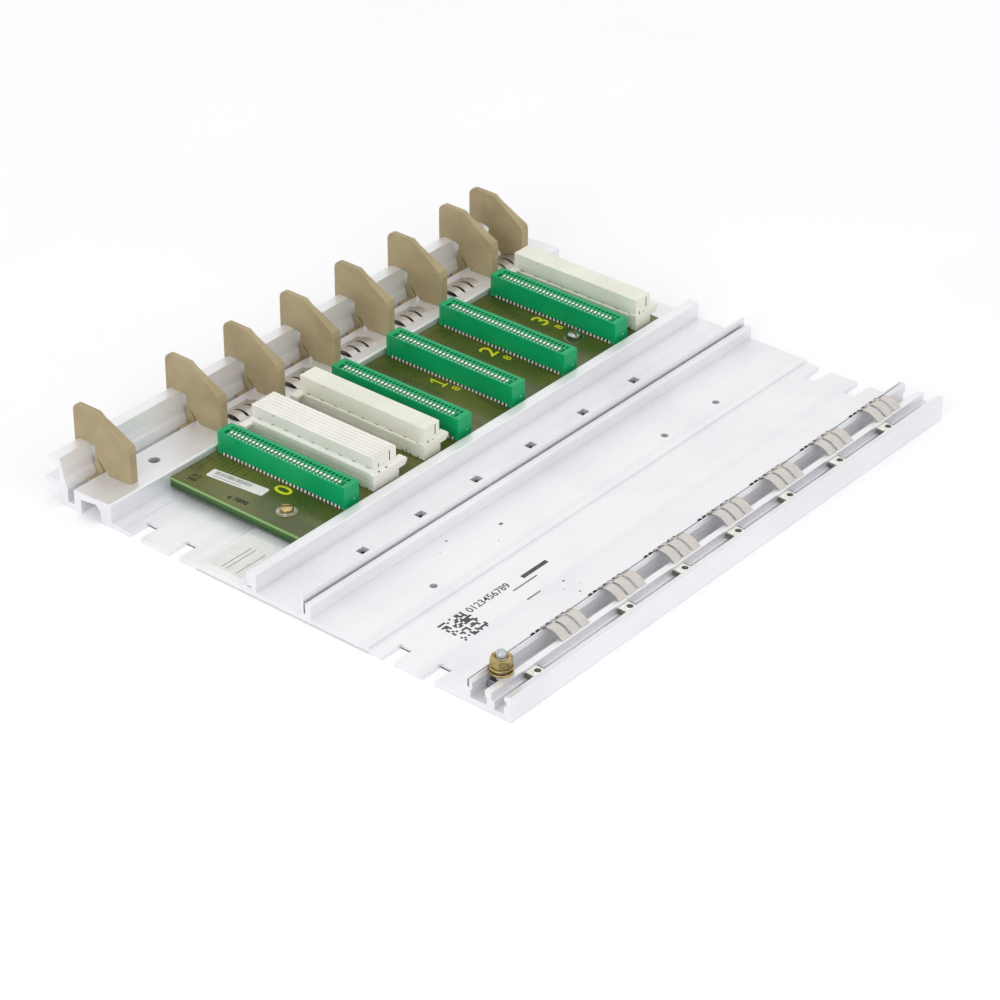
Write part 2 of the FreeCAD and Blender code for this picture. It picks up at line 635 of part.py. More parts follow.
    notches = new_sketch(body, "end_notches", "XY_Plane")
    for y in notch_centres():
        for x in (ZERO, panel_width - d.notch_depth):
            draw_box(notches, x, y - d.notch_width / 2, d.notch_depth, d.notch_width)
    pocket(body, "end_notches_cut", notches)
    return keep(body)


def notch_centres():
    low = y_lower + d.notch_set
    high = y_nose - d.notch_set_high
    return [low, low + d.notch_gap_low, high - d.notch_gap_high, high]


def make_board():
    """The backplane board and the pale sheet under it, with holes for the two screws."""
    for name, level, thickness in (
        ("board_backing_sheet", z_foot, d.board_sheet),
        ("backplane_board", z_board, d.board_thick),
    ):
        body = new_body(name)
        outline = new_sketch(body, name + "_outline", "XY_Plane")
        draw_box(outline, ZERO, ZERO, board_length, board_depth)
        for x in screw_centres():
            draw_circle(outline, x - board_left, d.screw_set, d.screw_shank + d.screw_play * 2)
        pad(body, name + "_pad", outline, thickness)
        keep(body, board_left, y_board, level)


def make_green_sockets():
    """Two-row sockets: one housing and one set of contact blades, repeated along the board."""
    housing = new_body("green_socket_1")
    outline = new_sketch(housing, "socket_outline", "XY_Plane")
    draw_box(outline, ZERO, ZERO, d.socket_width, socket_length)
    pad(housing, "socket_pad", outline, d.socket_height)

    relief = new_sketch(housing, "tail_reliefs", "XY_Plane")
    for x in (ZERO, d.socket_width - d.tail_relief):
        draw_box(relief, x, d.socket_end, d.tail_relief, socket_length - d.socket_end * 2)
    pocket(housing, "tail_relief_cut", relief, depth=d.tail_relief, top=d.tail_relief)

    row_length = d.contact_pitch * d.contact_count
    channel = new_sketch(housing, "near_row_channel", "XY_Plane")
    draw_box(channel, d.opening_wall, d.socket_end, d.near_opening, row_length)
    pocket(housing, "near_row_cut", channel, depth=d.opening_depth, top=d.socket_height)

    cell = new_sketch(housing, "far_row_cell", "XY_Plane")
    cell_x = d.socket_width - d.opening_wall - d.far_opening
    cell_y = d.socket_end + (d.contact_pitch - d.opening_length) / 2
    draw_box(cell, cell_x, cell_y, d.far_opening, d.opening_length)
    opening = pocket(housing, "far_row_cut", cell, depth=d.opening_depth, top=d.socket_height)
    pattern(housing, "far_row", opening, (cell, ["V_Axis"]), d.contact_pitch, d.contact_count)

    blade = new_body("contact_blade")
    blade_section = new_sketch(blade, "blade_section", "XY_Plane")
    draw_box(blade_section, ZERO, ZERO, d.blade_width, d.blade_thick)
    pad(blade, "blade_pad", blade_section, d.opening_depth - d.blade_sunk)
    blade_x = d.opening_wall + (d.near_opening - d.blade_width) / 2
    blade_y = d.socket_end + (d.contact_pitch - d.blade_thick) / 2
    row = [
        (blade_x, blade_y + d.contact_pitch * index, d.socket_height - d.opening_depth)
        for index in range(int(d.contact_count.value))
    ]
    blades = group("green_contacts_1", blade, row)

    for number, slot in enumerate(GREEN_SLOTS, start=1):
        x = slot_centre(slot) + d.socket_offset
        if number == 1:
            keep(housing, x, y_socket, z_socket)
            keep(blades, x, y_socket, z_socket)
        else:
            NODES.append(repeat(housing, "green_socket_%d" % number, x, y_socket, z_socket))
            NODES.append(repeat(blades, "green_contacts_%d" % number, x, y_socket, z_socket))


def group(name, source, places):
    """Several copies of one small piece as one sub-part of separate solids."""
    copies = []
    for index, (x, y, z) in enumerate(places, start=1):
        link = DOC.addObject("App::Link", "%s_copy_%d" % (name, index))
        link.LinkedObject = source
        link.setExpression("Placement.Base.x", as_size(x).text)
        link.setExpression("Placement.Base.y", as_size(y).text)
        link.setExpression("Placement.Base.z", as_size(z).text)
        copies.append(link)
    compound = DOC.addObject("Part::Compound", name)
    compound.Label = name
    compound.Links = copies
    DOC.recompute()
    return compound


def make_cream_socket(name, length, width, base_height, inset, setback):
    """A cream socket: stepped base, an ear at each end, and an upper body with contact channels."""
    body = new_body(name)
    tier = d.ear_level + d.ear_thick
    upper_length = length - setback * 2
    foot = new_sketch(body, name + "_foot", "XY_Plane")
    draw_box(foot, ZERO, ZERO, width, length)
    pad(body, name + "_foot_pad", foot, tier)

    base = new_sketch(body, name + "_base", "XY_Plane")
    draw_box(base, ZERO, setback, width, upper_length)
    pad(body, name + "_base_pad", base, base_height)

    upper = new_sketch(body, name + "_upper", "XY_Plane")
    draw_box(upper, inset, setback, width - inset, upper_length)
    pad(body, name + "_upper_pad", upper, d.cream_height)

    ears = new_sketch(body, name + "_ears", "XY_Plane")
    draw_box(ears, width / 2, ZERO, width / 2 + d.ear_reach, d.ear_width)
    draw_box(ears, d.ear_reach * -1, length - d.ear_width, width / 2 + d.ear_reach, d.ear_width)
    pad(body, name + "_ears_pad", ears, d.ear_thick, lift=d.ear_level)

    rows = new_sketch(body, name + "_rows", "XY_Plane")
    pitch = (width - inset) / d.key_count
    for index in range(int(d.key_count.value)):
        x = inset + pitch * index + (pitch - d.key_row) / 2
        draw_box(rows, x, setback, d.key_row, upper_length)
    pocket(body, name + "_rows_cut", rows, depth=d.key_depth, top=d.cream_height)

    seam = new_sketch(body, name + "_seam", "XY_Plane")
    draw_box(seam, ZERO, ZERO, d.seam, length - d.ear_width)
    pocket(body, name + "_seam_cut", seam, depth=d.seam, top=tier)
    return body


def make_cream_sockets():
    """A wide socket at the second slot, and two narrow ones at the third and the last."""
    y = y_socket + d.cream_front
    length = y_board + board_depth - d.cream_back - y
    wide = make_cream_socket(
        "cream_socket_1", length, d.wide_width, d.wide_base, d.wide_inset, d.wide_setback)
    keep(wide, slot_centre(1) - d.wide_x, y, z_socket)
    narrow = make_cream_socket(
        "cream_socket_2", length, d.narrow_width, d.narrow_base, d.narrow_inset, d.narrow_setback)
    keep(narrow, slot_centre(2) - d.narrow_x_1, y, z_socket)
    last = slot_centre(d.slot_count - 1) - d.narrow_x_2
    NODES.append(repeat(narrow, "cream_socket_3", last, y, z_socket))


def cut_fingers(body, name, width, front, rear):
    """Split the arched part of a spring into its fingers."""
    finger = (width - d.finger_gap * (d.finger_count - 1)) / d.finger_count
    gaps = new_sketch(body, name + "_gaps", "XY_Plane")
    for index in range(1, int(d.finger_count.value)):
        x = (finger + d.finger_gap) * index - d.finger_gap
        draw_box(gaps, x, front, d.finger_gap, rear - front)
    pocket(body, name + "_gaps_cut", gaps)


def arch(start, end, rise):
    """Points between start and end, on flats that rise over the straight line between them."""
    points = []
    for index in range(1, int(d.arch_flats.value)):
        share = index / d.arch_flats.value
        crown = rise * (4 * share * (1 - share))
        y = start[0] + (end[0] - start[0]) * share
        z = start[1] + (end[1] - start[1]) * share + crown
        points.append((y, z))
    return points


def make_lower_springs():
    """Arched contact springs that hook into the slit and lie over the tee slot."""
    body = new_body("lower_spring_1")
    section = new_sketch(body, "lower_spring_section", "YZ_Plane")
    rear = (y_slit + y_shoulder + d.spring_thick) / 2
    front = rear - d.spring_thick
    z_tail = z_lip - d.spring_tail
    shoulder = (rear, z_lip + d.spring_rise)
    inner_shoulder = (front, shoulder[1] - d.spring_thick)
    toe = (front - d.spring_toe, z_land)
    inner_toe = (toe[0] + d.spring_thick, z_land)
    outer = [shoulder] + arch(shoulder, toe, d.spring_arch) + [toe]
    inner = [inner_toe] + arch(inner_toe, inner_shoulder, d.spring_arch - d.spring_thick / 2)
    draw_loop(section, [(rear, z_tail)] + outer + inner + [inner_shoulder, (front, z_tail)])
    pad(body, "lower_spring_pad", section, d.spring_width)
    cut_fingers(body, "lower_spring", d.spring_width, toe[0] - d.finger_gap, front - d.spring_thick)
    first = d.first_slot + d.spring_offset - d.spring_width / 2
    keep(body, first)
    for index in range(1, int(d.slot_count.value)):
        name = "lower_spring_%d" % (index + 1)
        NODES.append(repeat(body, name, first + d.slot_pitch * index, ZERO, ZERO))


def make_upper_springs():
    """Arched contact springs over the windows in the platform."""
    body = new_body("upper_spring_1")
    section = new_sketch(body, "upper_spring_section", "YZ_Plane")
    thick = d.spring_thick
    y_toe = y_nose + d.clip_set
    y_heel = y_toe + d.clip_reach
    y_end = y_heel + d.clip_band
    heel = (y_heel, platform_height(y_heel) + thick)
    inner_heel = (y_heel, platform_height(y_heel))
    toe = (y_toe, platform_height(y_toe))
    inner_toe = (y_toe + thick, platform_height(y_toe + thick))
    outer = [heel] + arch(heel, toe, d.clip_arch) + [toe]
    inner = [inner_toe] + arch(inner_toe, inner_heel, d.clip_arch - thick / 2) + [inner_heel]
    band = [(y_end, platform_height(y_end)), (y_end, platform_height(y_end) + thick)]
    draw_loop(section, band + outer + inner)
    pad(body, "upper_spring_pad", section, d.clip_width)
    cut_fingers(body, "upper_spring", d.clip_width, y_toe - d.finger_gap, y_heel)
    half = d.clip_width / 2
    for number, x in enumerate(clip_centres(), start=1):
        if number == 1:
            keep(body, x - half)
        else:
            NODES.append(repeat(body, "upper_spring_%d" % number, x - half, ZERO, ZERO))


def make_guides():
    """Moulded card guides that stand on the platform and snap over the guide rail."""
    body = new_body("guide_1")
    front = y_nose + d.guide_set
    back = y_head_tip + d.guide_back
    foot = platform_height(front)
    brow = front + d.guide_chin_run
    chin = foot + d.guide_front_height
    top = z_head + d.guide_above
    peak = brow + d.guide_slope_run
    tail = z_head - d.guide_tail
    hook = y_head_tip - d.guide_barb
    under = z_head - d.head_thick - d.guide_play
    heel = y_clip - d.guide_heel
    root = (y_web - d.guide_notch, z_bulge)
    bend = (y_web, z_head - d.guide_notch_drop)
    side = new_sketch(body, "guide_side", "YZ_Plane")
    draw_loop(side, [
        (front, foot), (heel, platform_height(heel)), root, bend, (y_head - d.guide_rest, z_head),
        (y_head_tip + d.guide_play, z_head), (y_head_tip + d.guide_play, under), (hook, under),
        (hook, tail + d.guide_barb_slope), (back, tail), (back, top), (peak, top),
        (brow, chin + d.guide_chin), (front, chin),
    ])
    plate = pad(body, "guide_plate", side, d.guide_front)
    corner = edges_at(plate.Shape, [(back.value, top.value)], 0)
    fillet(body, "guide_top_corner", plate, corner, d.guide_round)

    wide = d.guide_front
    flare = new_sketch(body, "guide_flare", "XY_Plane")
    draw_loop(flare, [
        (wide, front), (wide, back), (d.guide_thin, back), (d.guide_thin, front + d.guide_flare),
    ])
    flared = pocket(body, "guide_flare_cut", flare)
    corners = edges_at(flared.Shape, [(0, front.value), (wide.value, front.value)], 2)
    fillet(body, "guide_front_edges", flared, corners, d.guide_edge)

    clip_front = y_clip + d.clip_play
    clip_rear = y_web - d.clip_play
    floor = d.clip_floor + d.clip_play
    foot_top = floor + d.clip_foot_height
    finger = new_sketch(body, "clip_finger", "YZ_Plane")
    draw_loop(finger, [
        (clip_front, floor), (clip_rear, floor), (clip_rear, z_bead),
        (y_web + d.web_knee_out - d.clip_play, z_knee), bend, root,
        (clip_front + d.finger_lean, foot_top + d.finger_knee), (clip_front, foot_top),
    ])
    pad(body, "clip_finger_pad", finger, d.guide_thin)
    shoe = new_sketch(body, "clip_shoe", "YZ_Plane")
    draw_loop(shoe, [
        (clip_front, floor), (clip_rear, floor), (clip_rear, foot_top - d.clip_foot_bevel),
        (clip_front + d.clip_foot_bevel, foot_top - d.clip_foot_bevel),
        (clip_front, foot_top - d.clip_foot_bevel * 2),
    ])
    pad(body, "clip_shoe_pad", shoe, d.clip_foot, lift=d.clip_foot * -1)

    for number, x in enumerate(guide_faces(), start=1):
        if number == 1:
            keep(body, x)
        else:
            NODES.append(repeat(body, "guide_%d" % number, x, ZERO, ZERO))


def cylinder(name, diameter, height, x=ZERO, y=ZERO, z=ZERO):
    shape = DOC.addObject("Part::Cylinder", name)
    shape.setExpression("Radius", (diameter / 2).text)
    shape.setExpression("Height", height.text)
    shift(shape, x, y, z)
    return shape


def block(name, length, width, height, x=ZERO, y=ZERO, z=ZERO):
    shape = DOC.addObject("Part::Box", name)
    shape.setExpression("Length", length.text)
    shape.setExpression("Width", width.text)
    shape.setExpression("Height", height.text)
    shift(shape, x, y, z)
    return shape


def shift(shape, x, y, z):
    shape.setExpression("Placement.Base.x", as_size(x).text)
    shape.setExpression("Placement.Base.y", as_size(y).text)
    shape.setExpression("Placement.Base.z", as_size(z).text)


def hexagon(name, across_flats, height, x=ZERO, y=ZERO, z=ZERO):
    shape = DOC.addObject("Part::Prism", name)
    shape.Polygon = 6
    shape.setExpression("Circumradius", (across_flats / math.sqrt(3)).text)
    shape.setExpression("Height", height.text)
    shift(shape, x, y, z)
    return shape


def cut(name, base, tool):
    result = DOC.addObject("Part::Cut", name)
    result.Base = base
    result.Tool = tool
    result.Label = name
    return result


def fuse(name, *shapes):
    result = DOC.addObject("Part::MultiFuse", name)
    result.Shapes = list(shapes)
    result.Label = name
    return result


def make_nut_inserts():
    """Threaded inserts in the lower rail's groove, as one sub-part of separate solids."""
    low = d.rail_wall - d.nut_undercut + d.nut_play
    high = y_nut - d.nut_play
    width = high - low
    middle = width / 2
    plate = block("nut_plate", d.nut_length, width, d.nut_thick)
    boss = hexagon("nut_boss", d.nut_boss, d.nut_boss_height, d.nut_length / 2, middle, d.nut_thick)
    solid = fuse("nut_solid", plate, boss)
    height = d.nut_thick + d.nut_boss_height
    thread = cylinder("nut_thread", d.nut_thread, height, d.nut_length / 2, middle)
    nut = cut("nut_insert", solid, thread)
    DOC.recompute()
    centres = [d.first_nut]
    centres += [slot_centre(index) - d.nut_offset for index in range(1, int(d.slot_count.value))]
    places = [(x - d.nut_length / 2, low, z_nut) for x in centres]
    keep(group("nut_inserts", nut, places))


def ring(name, outer, inner, height):
    return cut(name, cylinder(name + "_disc", outer, height), cylinder(name + "_bore", inner, height))


def make_earth_stud():
    """A square-headed bolt in the tee slot with washers, spring washer and nut."""
    bore = d.stud_thread + d.thread_play * 2
    half = d.stud_head / 2
    head = block("stud_square", d.stud_head, d.stud_head, d.stud_head_height, half * -1, half * -1)
    shank = cylinder("stud_shank", d.stud_thread, z_land - z_tee + d.stud_head_height + d.stud_above)
    keep(fuse("earth_stud", head, shank), d.stud_x, stud_y, z_tee - d.stud_head_height)

    level = z_land
    keep(ring("earth_washer_lower", d.earth_washer, bore, d.earth_washer_thick), d.stud_x, stud_y, level)
    level = level + d.earth_washer_thick
    split = ring("spring_ring", d.spring_washer, bore, d.spring_washer_thick)
    gap = block("spring_gap", d.spring_washer, d.spring_washer_cut, d.spring_washer_thick)
    keep(cut("earth_spring_washer", split, gap), d.stud_x, stud_y, level)
    level = level + d.spring_washer_thick
    keep(ring("earth_washer_upper", d.earth_washer, bore, d.earth_washer_thick), d.stud_x, stud_y, level)
    level = level + d.earth_washer_thick
    outside = hexagon("nut_hexagon", d.earth_nut, d.earth_nut_height)
    thread = cylinder("earth_nut_thread", bore, d.earth_nut_height)
    keep(cut("earth_nut", outside, thread), d.stud_x, stud_y, level)


def make_board_fixings():
    """Two slotted screws with washers, and the spacers between board and panel."""
    bore = d.screw_shank + d.screw_play * 2
    standoff = hexagon("spacer_hexagon", d.spacer_wide, d.foot_rise)
    spacer = cut("spacer", standoff, cylinder("spacer_bore", bore, d.foot_rise))
    washer = ring("washer", d.washer_wide, bore, d.washer_thick)
    shank_length = z_socket - d.middle_lift + d.washer_thick
    shank = cylinder("screw_shank_rod", d.screw_shank, shank_length)
    head = cylinder("screw_head_disc", d.screw_head, d.screw_head_height, z=shank_length)
    half = d.screw_head / 2
    slot_z = shank_length + d.screw_head_height / 2
    slot = block("screw_slot_bar", d.screw_head, d.screw_slot, d.screw_head_height, half * -1,
                 d.screw_slot / -2, slot_z)
    screw = cut("board_screw", fuse("screw_solid", shank, head), slot)
    DOC.recompute()
    for name, source, level in (
        ("board_spacers", spacer, z_middle),
        ("board_washers", washer, z_socket),
        ("board_screws", screw, d.middle_lift),
    ):
        keep(group(name, source, [(x, screw_y, level) for x in screw_centres()]))


def check_and_export():
    """Write each sub-part, once every object of the document has built cleanly."""
    DOC.recompute()
    for item in DOC.Objects:
        if "Invalid" in item.State or "Error" in item.State:
            raise ValueError("%s did not build: %s" % (item.Name, item.State))
    os.makedirs("parts", exist_ok=True)
    for piece in NODES:
        shape = Part.getShape(piece)
        if shape.isNull() or not shape.isValid() or not shape.Solids:
            raise ValueError("%s has no valid solid" % piece.Label)
        shape.exportStep(os.path.join("parts", piece.Label + ".step"))
    box = Part.makeCompound([Part.getShape(piece) for piece in NODES]).BoundBox
    print("%d sub-parts, %.1f x %.1f x %.1f mm" % (len(NODES), box.XLength, box.YLength, box.ZLength))


make_back_panel()
make_board()
make_green_sockets()
make_cream_sockets()
make_lower_springs()
make_upper_springs()
make_guides()
make_nut_inserts()
make_earth_stud()
make_board_fixings()
check_and_export()
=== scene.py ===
"""Looks of a subrack card cage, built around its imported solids.

Sizes are in millimetres of the frame: X along the rails, Y from the lower rail to the guide
rail, Z up. Forms are scaled to metres when they become objects.
"""

import logging
import math
import random
from dataclasses import dataclass
from enum import Enum
from typing import Any, Callable, Iterable, Sequence

import bmesh
import bpy
from mathutils import Matrix, Vector
from mathutils.bvhtree import BVHTree


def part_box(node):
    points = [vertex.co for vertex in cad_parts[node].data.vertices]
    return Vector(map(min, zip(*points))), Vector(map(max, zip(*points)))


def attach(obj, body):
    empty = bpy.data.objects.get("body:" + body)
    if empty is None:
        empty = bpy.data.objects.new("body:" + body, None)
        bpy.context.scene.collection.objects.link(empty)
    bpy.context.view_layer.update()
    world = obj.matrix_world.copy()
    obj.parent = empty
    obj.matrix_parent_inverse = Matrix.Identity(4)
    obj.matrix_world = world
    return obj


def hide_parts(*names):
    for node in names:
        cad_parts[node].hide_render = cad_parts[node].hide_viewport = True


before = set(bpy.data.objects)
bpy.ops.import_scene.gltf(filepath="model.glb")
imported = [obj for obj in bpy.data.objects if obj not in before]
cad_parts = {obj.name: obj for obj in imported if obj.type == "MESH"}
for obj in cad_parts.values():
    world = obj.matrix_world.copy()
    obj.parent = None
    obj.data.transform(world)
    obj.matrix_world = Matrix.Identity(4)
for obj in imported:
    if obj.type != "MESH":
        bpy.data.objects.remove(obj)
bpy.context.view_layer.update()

MM = 0.001
BODY = "root"
LOG = logging.getLogger("card_cage")
Point = tuple[float, float]
Color = tuple[float, float, float, float]


class Axis(Enum):
    """The direction in which a profile is drawn out."""

    X = 0
    Y = 1
    Z = 2


def srgb(red: float, green: float, blue: float) -> Color:
    """Turn a display colour into the linear colour that shaders take.

    Args:
        red: Red from 0 to 255.
        green: Green from 0 to 255.
        blue: Blue from 0 to 255.

    Returns:
        The linear colour with full alpha.
    """
    def linear(value: float) -> float:
        """One channel, linear."""
        share = value / 255
        return share / 12.92 if share <= 0.04045 else ((share + 0.055) / 1.055) ** 2.4

    return (linear(red), linear(green), linear(blue), 1.0)


def node_box(name: str) -> tuple[Vector, Vector]:
    """Give a solid's lowest and highest corner.

    Args:
        name: The solid's name.

    Returns:
        Both corners in millimetres.
    """
    low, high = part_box(name)
    return low / MM, high / MM


def surface_level(name: str, x: float, y: float) -> float:
    """Find the top of a solid at a place.

    Args:
        name: The solid's name.
        x: Place along X in millimetres.
        y: Place along Y in millimetres.

    Returns:
        The level of the topmost surface there, in millimetres.
    """
    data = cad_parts[name].data
    tree = BVHTree.FromPolygons([v.co for v in data.vertices], [tuple(p.vertices) for p in data.polygons])
    hit = tree.ray_cast(Vector((x * MM, y * MM, 1.0)), Vector((0.0, 0.0, -1.0)))
    return hit[0].z / MM


class Form:
    """A mesh under construction, in millimetres of the frame."""

    def __init__(self) -> None:
        """Start an empty mesh."""
        self.mesh = bmesh.new()

    def face(self, corners: Sequence[bmesh.types.BMVert], finish: int) -> None:
        """Add one face.

        Args:
            corners: The face's corners in order.
            finish: Index of the finish it takes.
        """
        self.mesh.faces.new(corners).material_index = finish

    def block(self, low: Sequence[float], high: Sequence[float], finish: int = 0,
              taper: float = 0.0) -> None:
        """Add a block between two corners.

        Args:
            low: Lowest corner.
            high: Highest corner.
            finish: Index of its finish.
            taper: How far the top draws in on each side.
        """
        outline = [(low[0], low[1]), (high[0], low[1]), (high[0], high[1]), (low[0], high[1])]
        drawn = [(low[0] + taper, low[1] + taper), (high[0] - taper, low[1] + taper),
                 (high[0] - taper, high[1] - taper), (low[0] + taper, high[1] - taper)]
        lower = [self.mesh.verts.new((x, y, low[2])) for x, y in outline]
        upper = [self.mesh.verts.new((x, y, high[2])) for x, y in drawn]
        self._close(lower, upper, finish)

    def prism(self, outline: Sequence[Point], axis: Axis, low: float, high: float,
              finish: int = 0) -> None:
        """Draw a closed outline out along an axis.

        Args:
            outline: Points in the plane across the axis.
            axis: The direction of drawing out.
            low: Where it starts.
            high: Where it ends.
            finish: Index of its finish.
        """
        def at(point: Point, level: float) -> bmesh.types.BMVert:
            """The corner of a profile point at one level."""
            place = list(point)
            place.insert(axis.value, level)
            return self.mesh.verts.new(place)

        self._close([at(p, low) for p in outline], [at(p, high) for p in outline], finish)

    def _close(self, lower: list[bmesh.types.BMVert], upper: list[bmesh.types.BMVert],
               finish: int) -> None:
        """Join two rings of corners into a closed body.

        Args:
            lower: The ring it starts from.
            upper: The ring it ends at.
            finish: Index of its finish.
        """
        self.face(lower[::-1], finish)
        self.face(upper, finish)
        for index in range(len(lower)):
            follow = (index + 1) % len(lower)
            self.face((lower[index], lower[follow], upper[follow], upper[index]), finish)

    def lathe(self, profile: Sequence[Point], centre: Point, finish: int = 0, steps: int = 48,
              closed: bool = False, spin: Callable[[float, float], Point] | None = None) -> None:
        """Turn a profile of radius and height about a vertical line.

        Args:
            profile: Radius and height of each ring.
            centre: Where the line stands.
            finish: Index of its finish.
            steps: Flats round the turn.
            closed: Whether the last ring joins the first, as in a washer.
            spin: Changes the radius and height of a ring's corner by its index and angle.
        """
        rings = []
        for number, (radius, height) in enumerate(profile):
            ring = []
            for step in range(steps):
                angle = 2 * math.pi * step / steps
                reach, level = spin(number, angle) if spin else (radius, height)
                place = (centre[0] + reach * math.cos(angle), centre[1] + reach * math.sin(angle))
                ring.append(self.mesh.verts.new((*place, level)))
            rings.append(ring)
        pairs = list(zip(rings, rings[1:]))
        if closed:
            pairs.append((rings[-1], rings[0]))
        else:
            self.face(rings[0][::-1], finish)
            self.face(rings[-1], finish)
        for lower, upper in pairs:
            for step in range(steps):
                follow = (step + 1) % steps
                self.face((lower[step], lower[follow], upper[follow], upper[step]), finish)

    def pearl(self, centre: Sequence[float], size: Sequence[float], finish: int = 0) -> None:
        """Add a small rounded bead.

        Args:
            centre: Its middle.
            size: Its half lengths.
            finish: Index of its finish.
        """
        known = set(self.mesh.faces)
        matrix = Matrix.Translation(centre) @ Matrix.Diagonal((*size, 1.0))
        bmesh.ops.create_uvsphere(self.mesh, u_segments=10, v_segments=7, radius=1.0, matrix=matrix)
        for face in self.mesh.faces:
            if face not in known:
                face.material_index = finish

    def pocketed(self, lines_x: Sequence[float], lines_y: Sequence[float],
                 depth_at: Callable[[int, int], float], top: float, bottom: float,
                 finish: int = 0) -> None:
        """Add a block whose top is a grid of lands and pockets.

        Args:
            lines_x: Grid lines along X.
            lines_y: Grid lines along Y.
            depth_at: Depth of the cell in a column and row, 0 for a land.
            top: Level of the lands.
            bottom: Level of the block's underside.
            finish: Index of its finish.
        """
        known: dict[tuple[int, int, float], bmesh.types.BMVert] = {}

        def corner(column: int, row: int, level: float) -> bmesh.types.BMVert:
            """The shared corner on two grid lines at one level."""
            key = (column, row, round(level, 4))
            if key not in known:
                known[key] = self.mesh.verts.new((lines_x[column], lines_y[row], level))
            return known[key]

        columns, rows = len(lines_x) - 1, len(lines_y) - 1

        def level_at(column: int, row: int) -> float:
            """Level of a cell's floor, or of the underside beyond the grid."""
            inside = 0 <= column < columns and 0 <= row < rows
            return top - depth_at(column, row) if inside else bottom

        for column in range(columns):
            for row in range(rows):
                level = level_at(column, row)
                ring = ((column, row), (column + 1, row), (column + 1, row + 1), (column, row + 1))
                self.face([corner(*place, level) for place in ring], finish)
                self.face([corner(*place, bottom) for place in reversed(ring)], finish)
                beside = ((column, row - 1), (column + 1, row), (column, row + 1), (column - 1, row))
                for side, neighbour in enumerate(beside):
                    lower = level_at(*neighbour)
                    if lower < level - 1e-6:
                        first, last = ring[side], ring[(side + 1) % 4]
                        self.face((corner(*last, level), corner(*first, level),
                                   corner(*first, lower), corner(*last, lower)), finish)

    def piece(self, name: str, finishes: Sequence[bpy.types.Material], slot: str,
              replaces: Iterable[str] = (), edge: float = 0.0, segments: int = 2,
              angle: float = 35.0, cutters: Iterable["Form"] = ()) -> bpy.types.Object:
        """Make the form an object that rides on the cage.

        Args:
            name: The piece's name.
            finishes: Its materials, in the order of their indices.
            slot: The record's material slot; not used.
            replaces: Solids that it stands for.
            edge: Width of its rounded edges, 0 for none.
            segments: Steps of that rounding.
            angle: Edges sharper than this many degrees stay sharp, or are rounded.
            cutters: Forms that are taken out of it.

        Returns:
            The object.
        """
        piece = self._object(name)
        for material in finishes:
            piece.data.materials.append(material)
        tools = [cutter._object(name + "_cutter") for cutter in cutters]
        for tool in tools:
            carve = piece.modifiers.new("carve", "BOOLEAN")
            carve.object = tool
            carve.solver = "EXACT"
            carve.use_self = True
        if tools:
            graph = bpy.context.evaluated_depsgraph_get()
            carved = bpy.data.meshes.new_from_object(piece.evaluated_get(graph))
            piece.modifiers.clear()
            piece.data = carved
            for tool in tools:
                bpy.data.objects.remove(tool)
        if edge:
            rounding = piece.modifiers.new("rounded_edges", "BEVEL")
            rounding.width = edge * MM
            rounding.segments = segments
            rounding.limit_method = "ANGLE"
            rounding.angle_limit = math.radians(angle)
            rounding.use_clamp_overlap = True
        piece.data.shade_smooth()
        piece.data.set_sharp_from_angle(angle=math.radians(angle))
        return settle(piece, replaces)

    def _object(self, name: str) -> bpy.types.Object:
        """Turn the form into a linked object, in metres.

        Args:
            name: The object's name.

        Returns:
            The object.
        """
        bmesh.ops.recalc_face_normals(self.mesh, faces=self.mesh.faces)
        bmesh.ops.scale(self.mesh, vec=(MM, MM, MM), verts=self.mesh.verts)
        data = bpy.data.meshes.new(name)
        self.mesh.to_mesh(data)
        self.mesh.free()
        made = bpy.data.objects.new(name, data)
        bpy.context.scene.collection.objects.link(made)
        return made


def settle(piece: bpy.types.Object, replaces: Iterable[str] = ()) -> bpy.types.Object:
    """Let a piece ride on the cage and report it.

    Args:
        piece: The object.
        replaces: Solids that it stands for.

    Returns:
        The same object.
    """
    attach(piece, BODY)
    nodes = list(replaces)
    if nodes:
        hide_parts(*nodes)
    LOG.info("%s: %d faces%s", piece.name, len(piece.data.polygons),
             ", for " + ", ".join(nodes) if nodes else "")
    return piece


def dress(names: Iterable[str], material: bpy.types.Material) -> None:
    """Give solids that stay their finish.

    Args:
        names: The solids.
        material: The finish that they take.
    """
    for name in names:
        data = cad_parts[name].data
        data.materials.clear()
        data.materials.append(material)
        LOG.info("%s: dressed with %s", name, material.name)


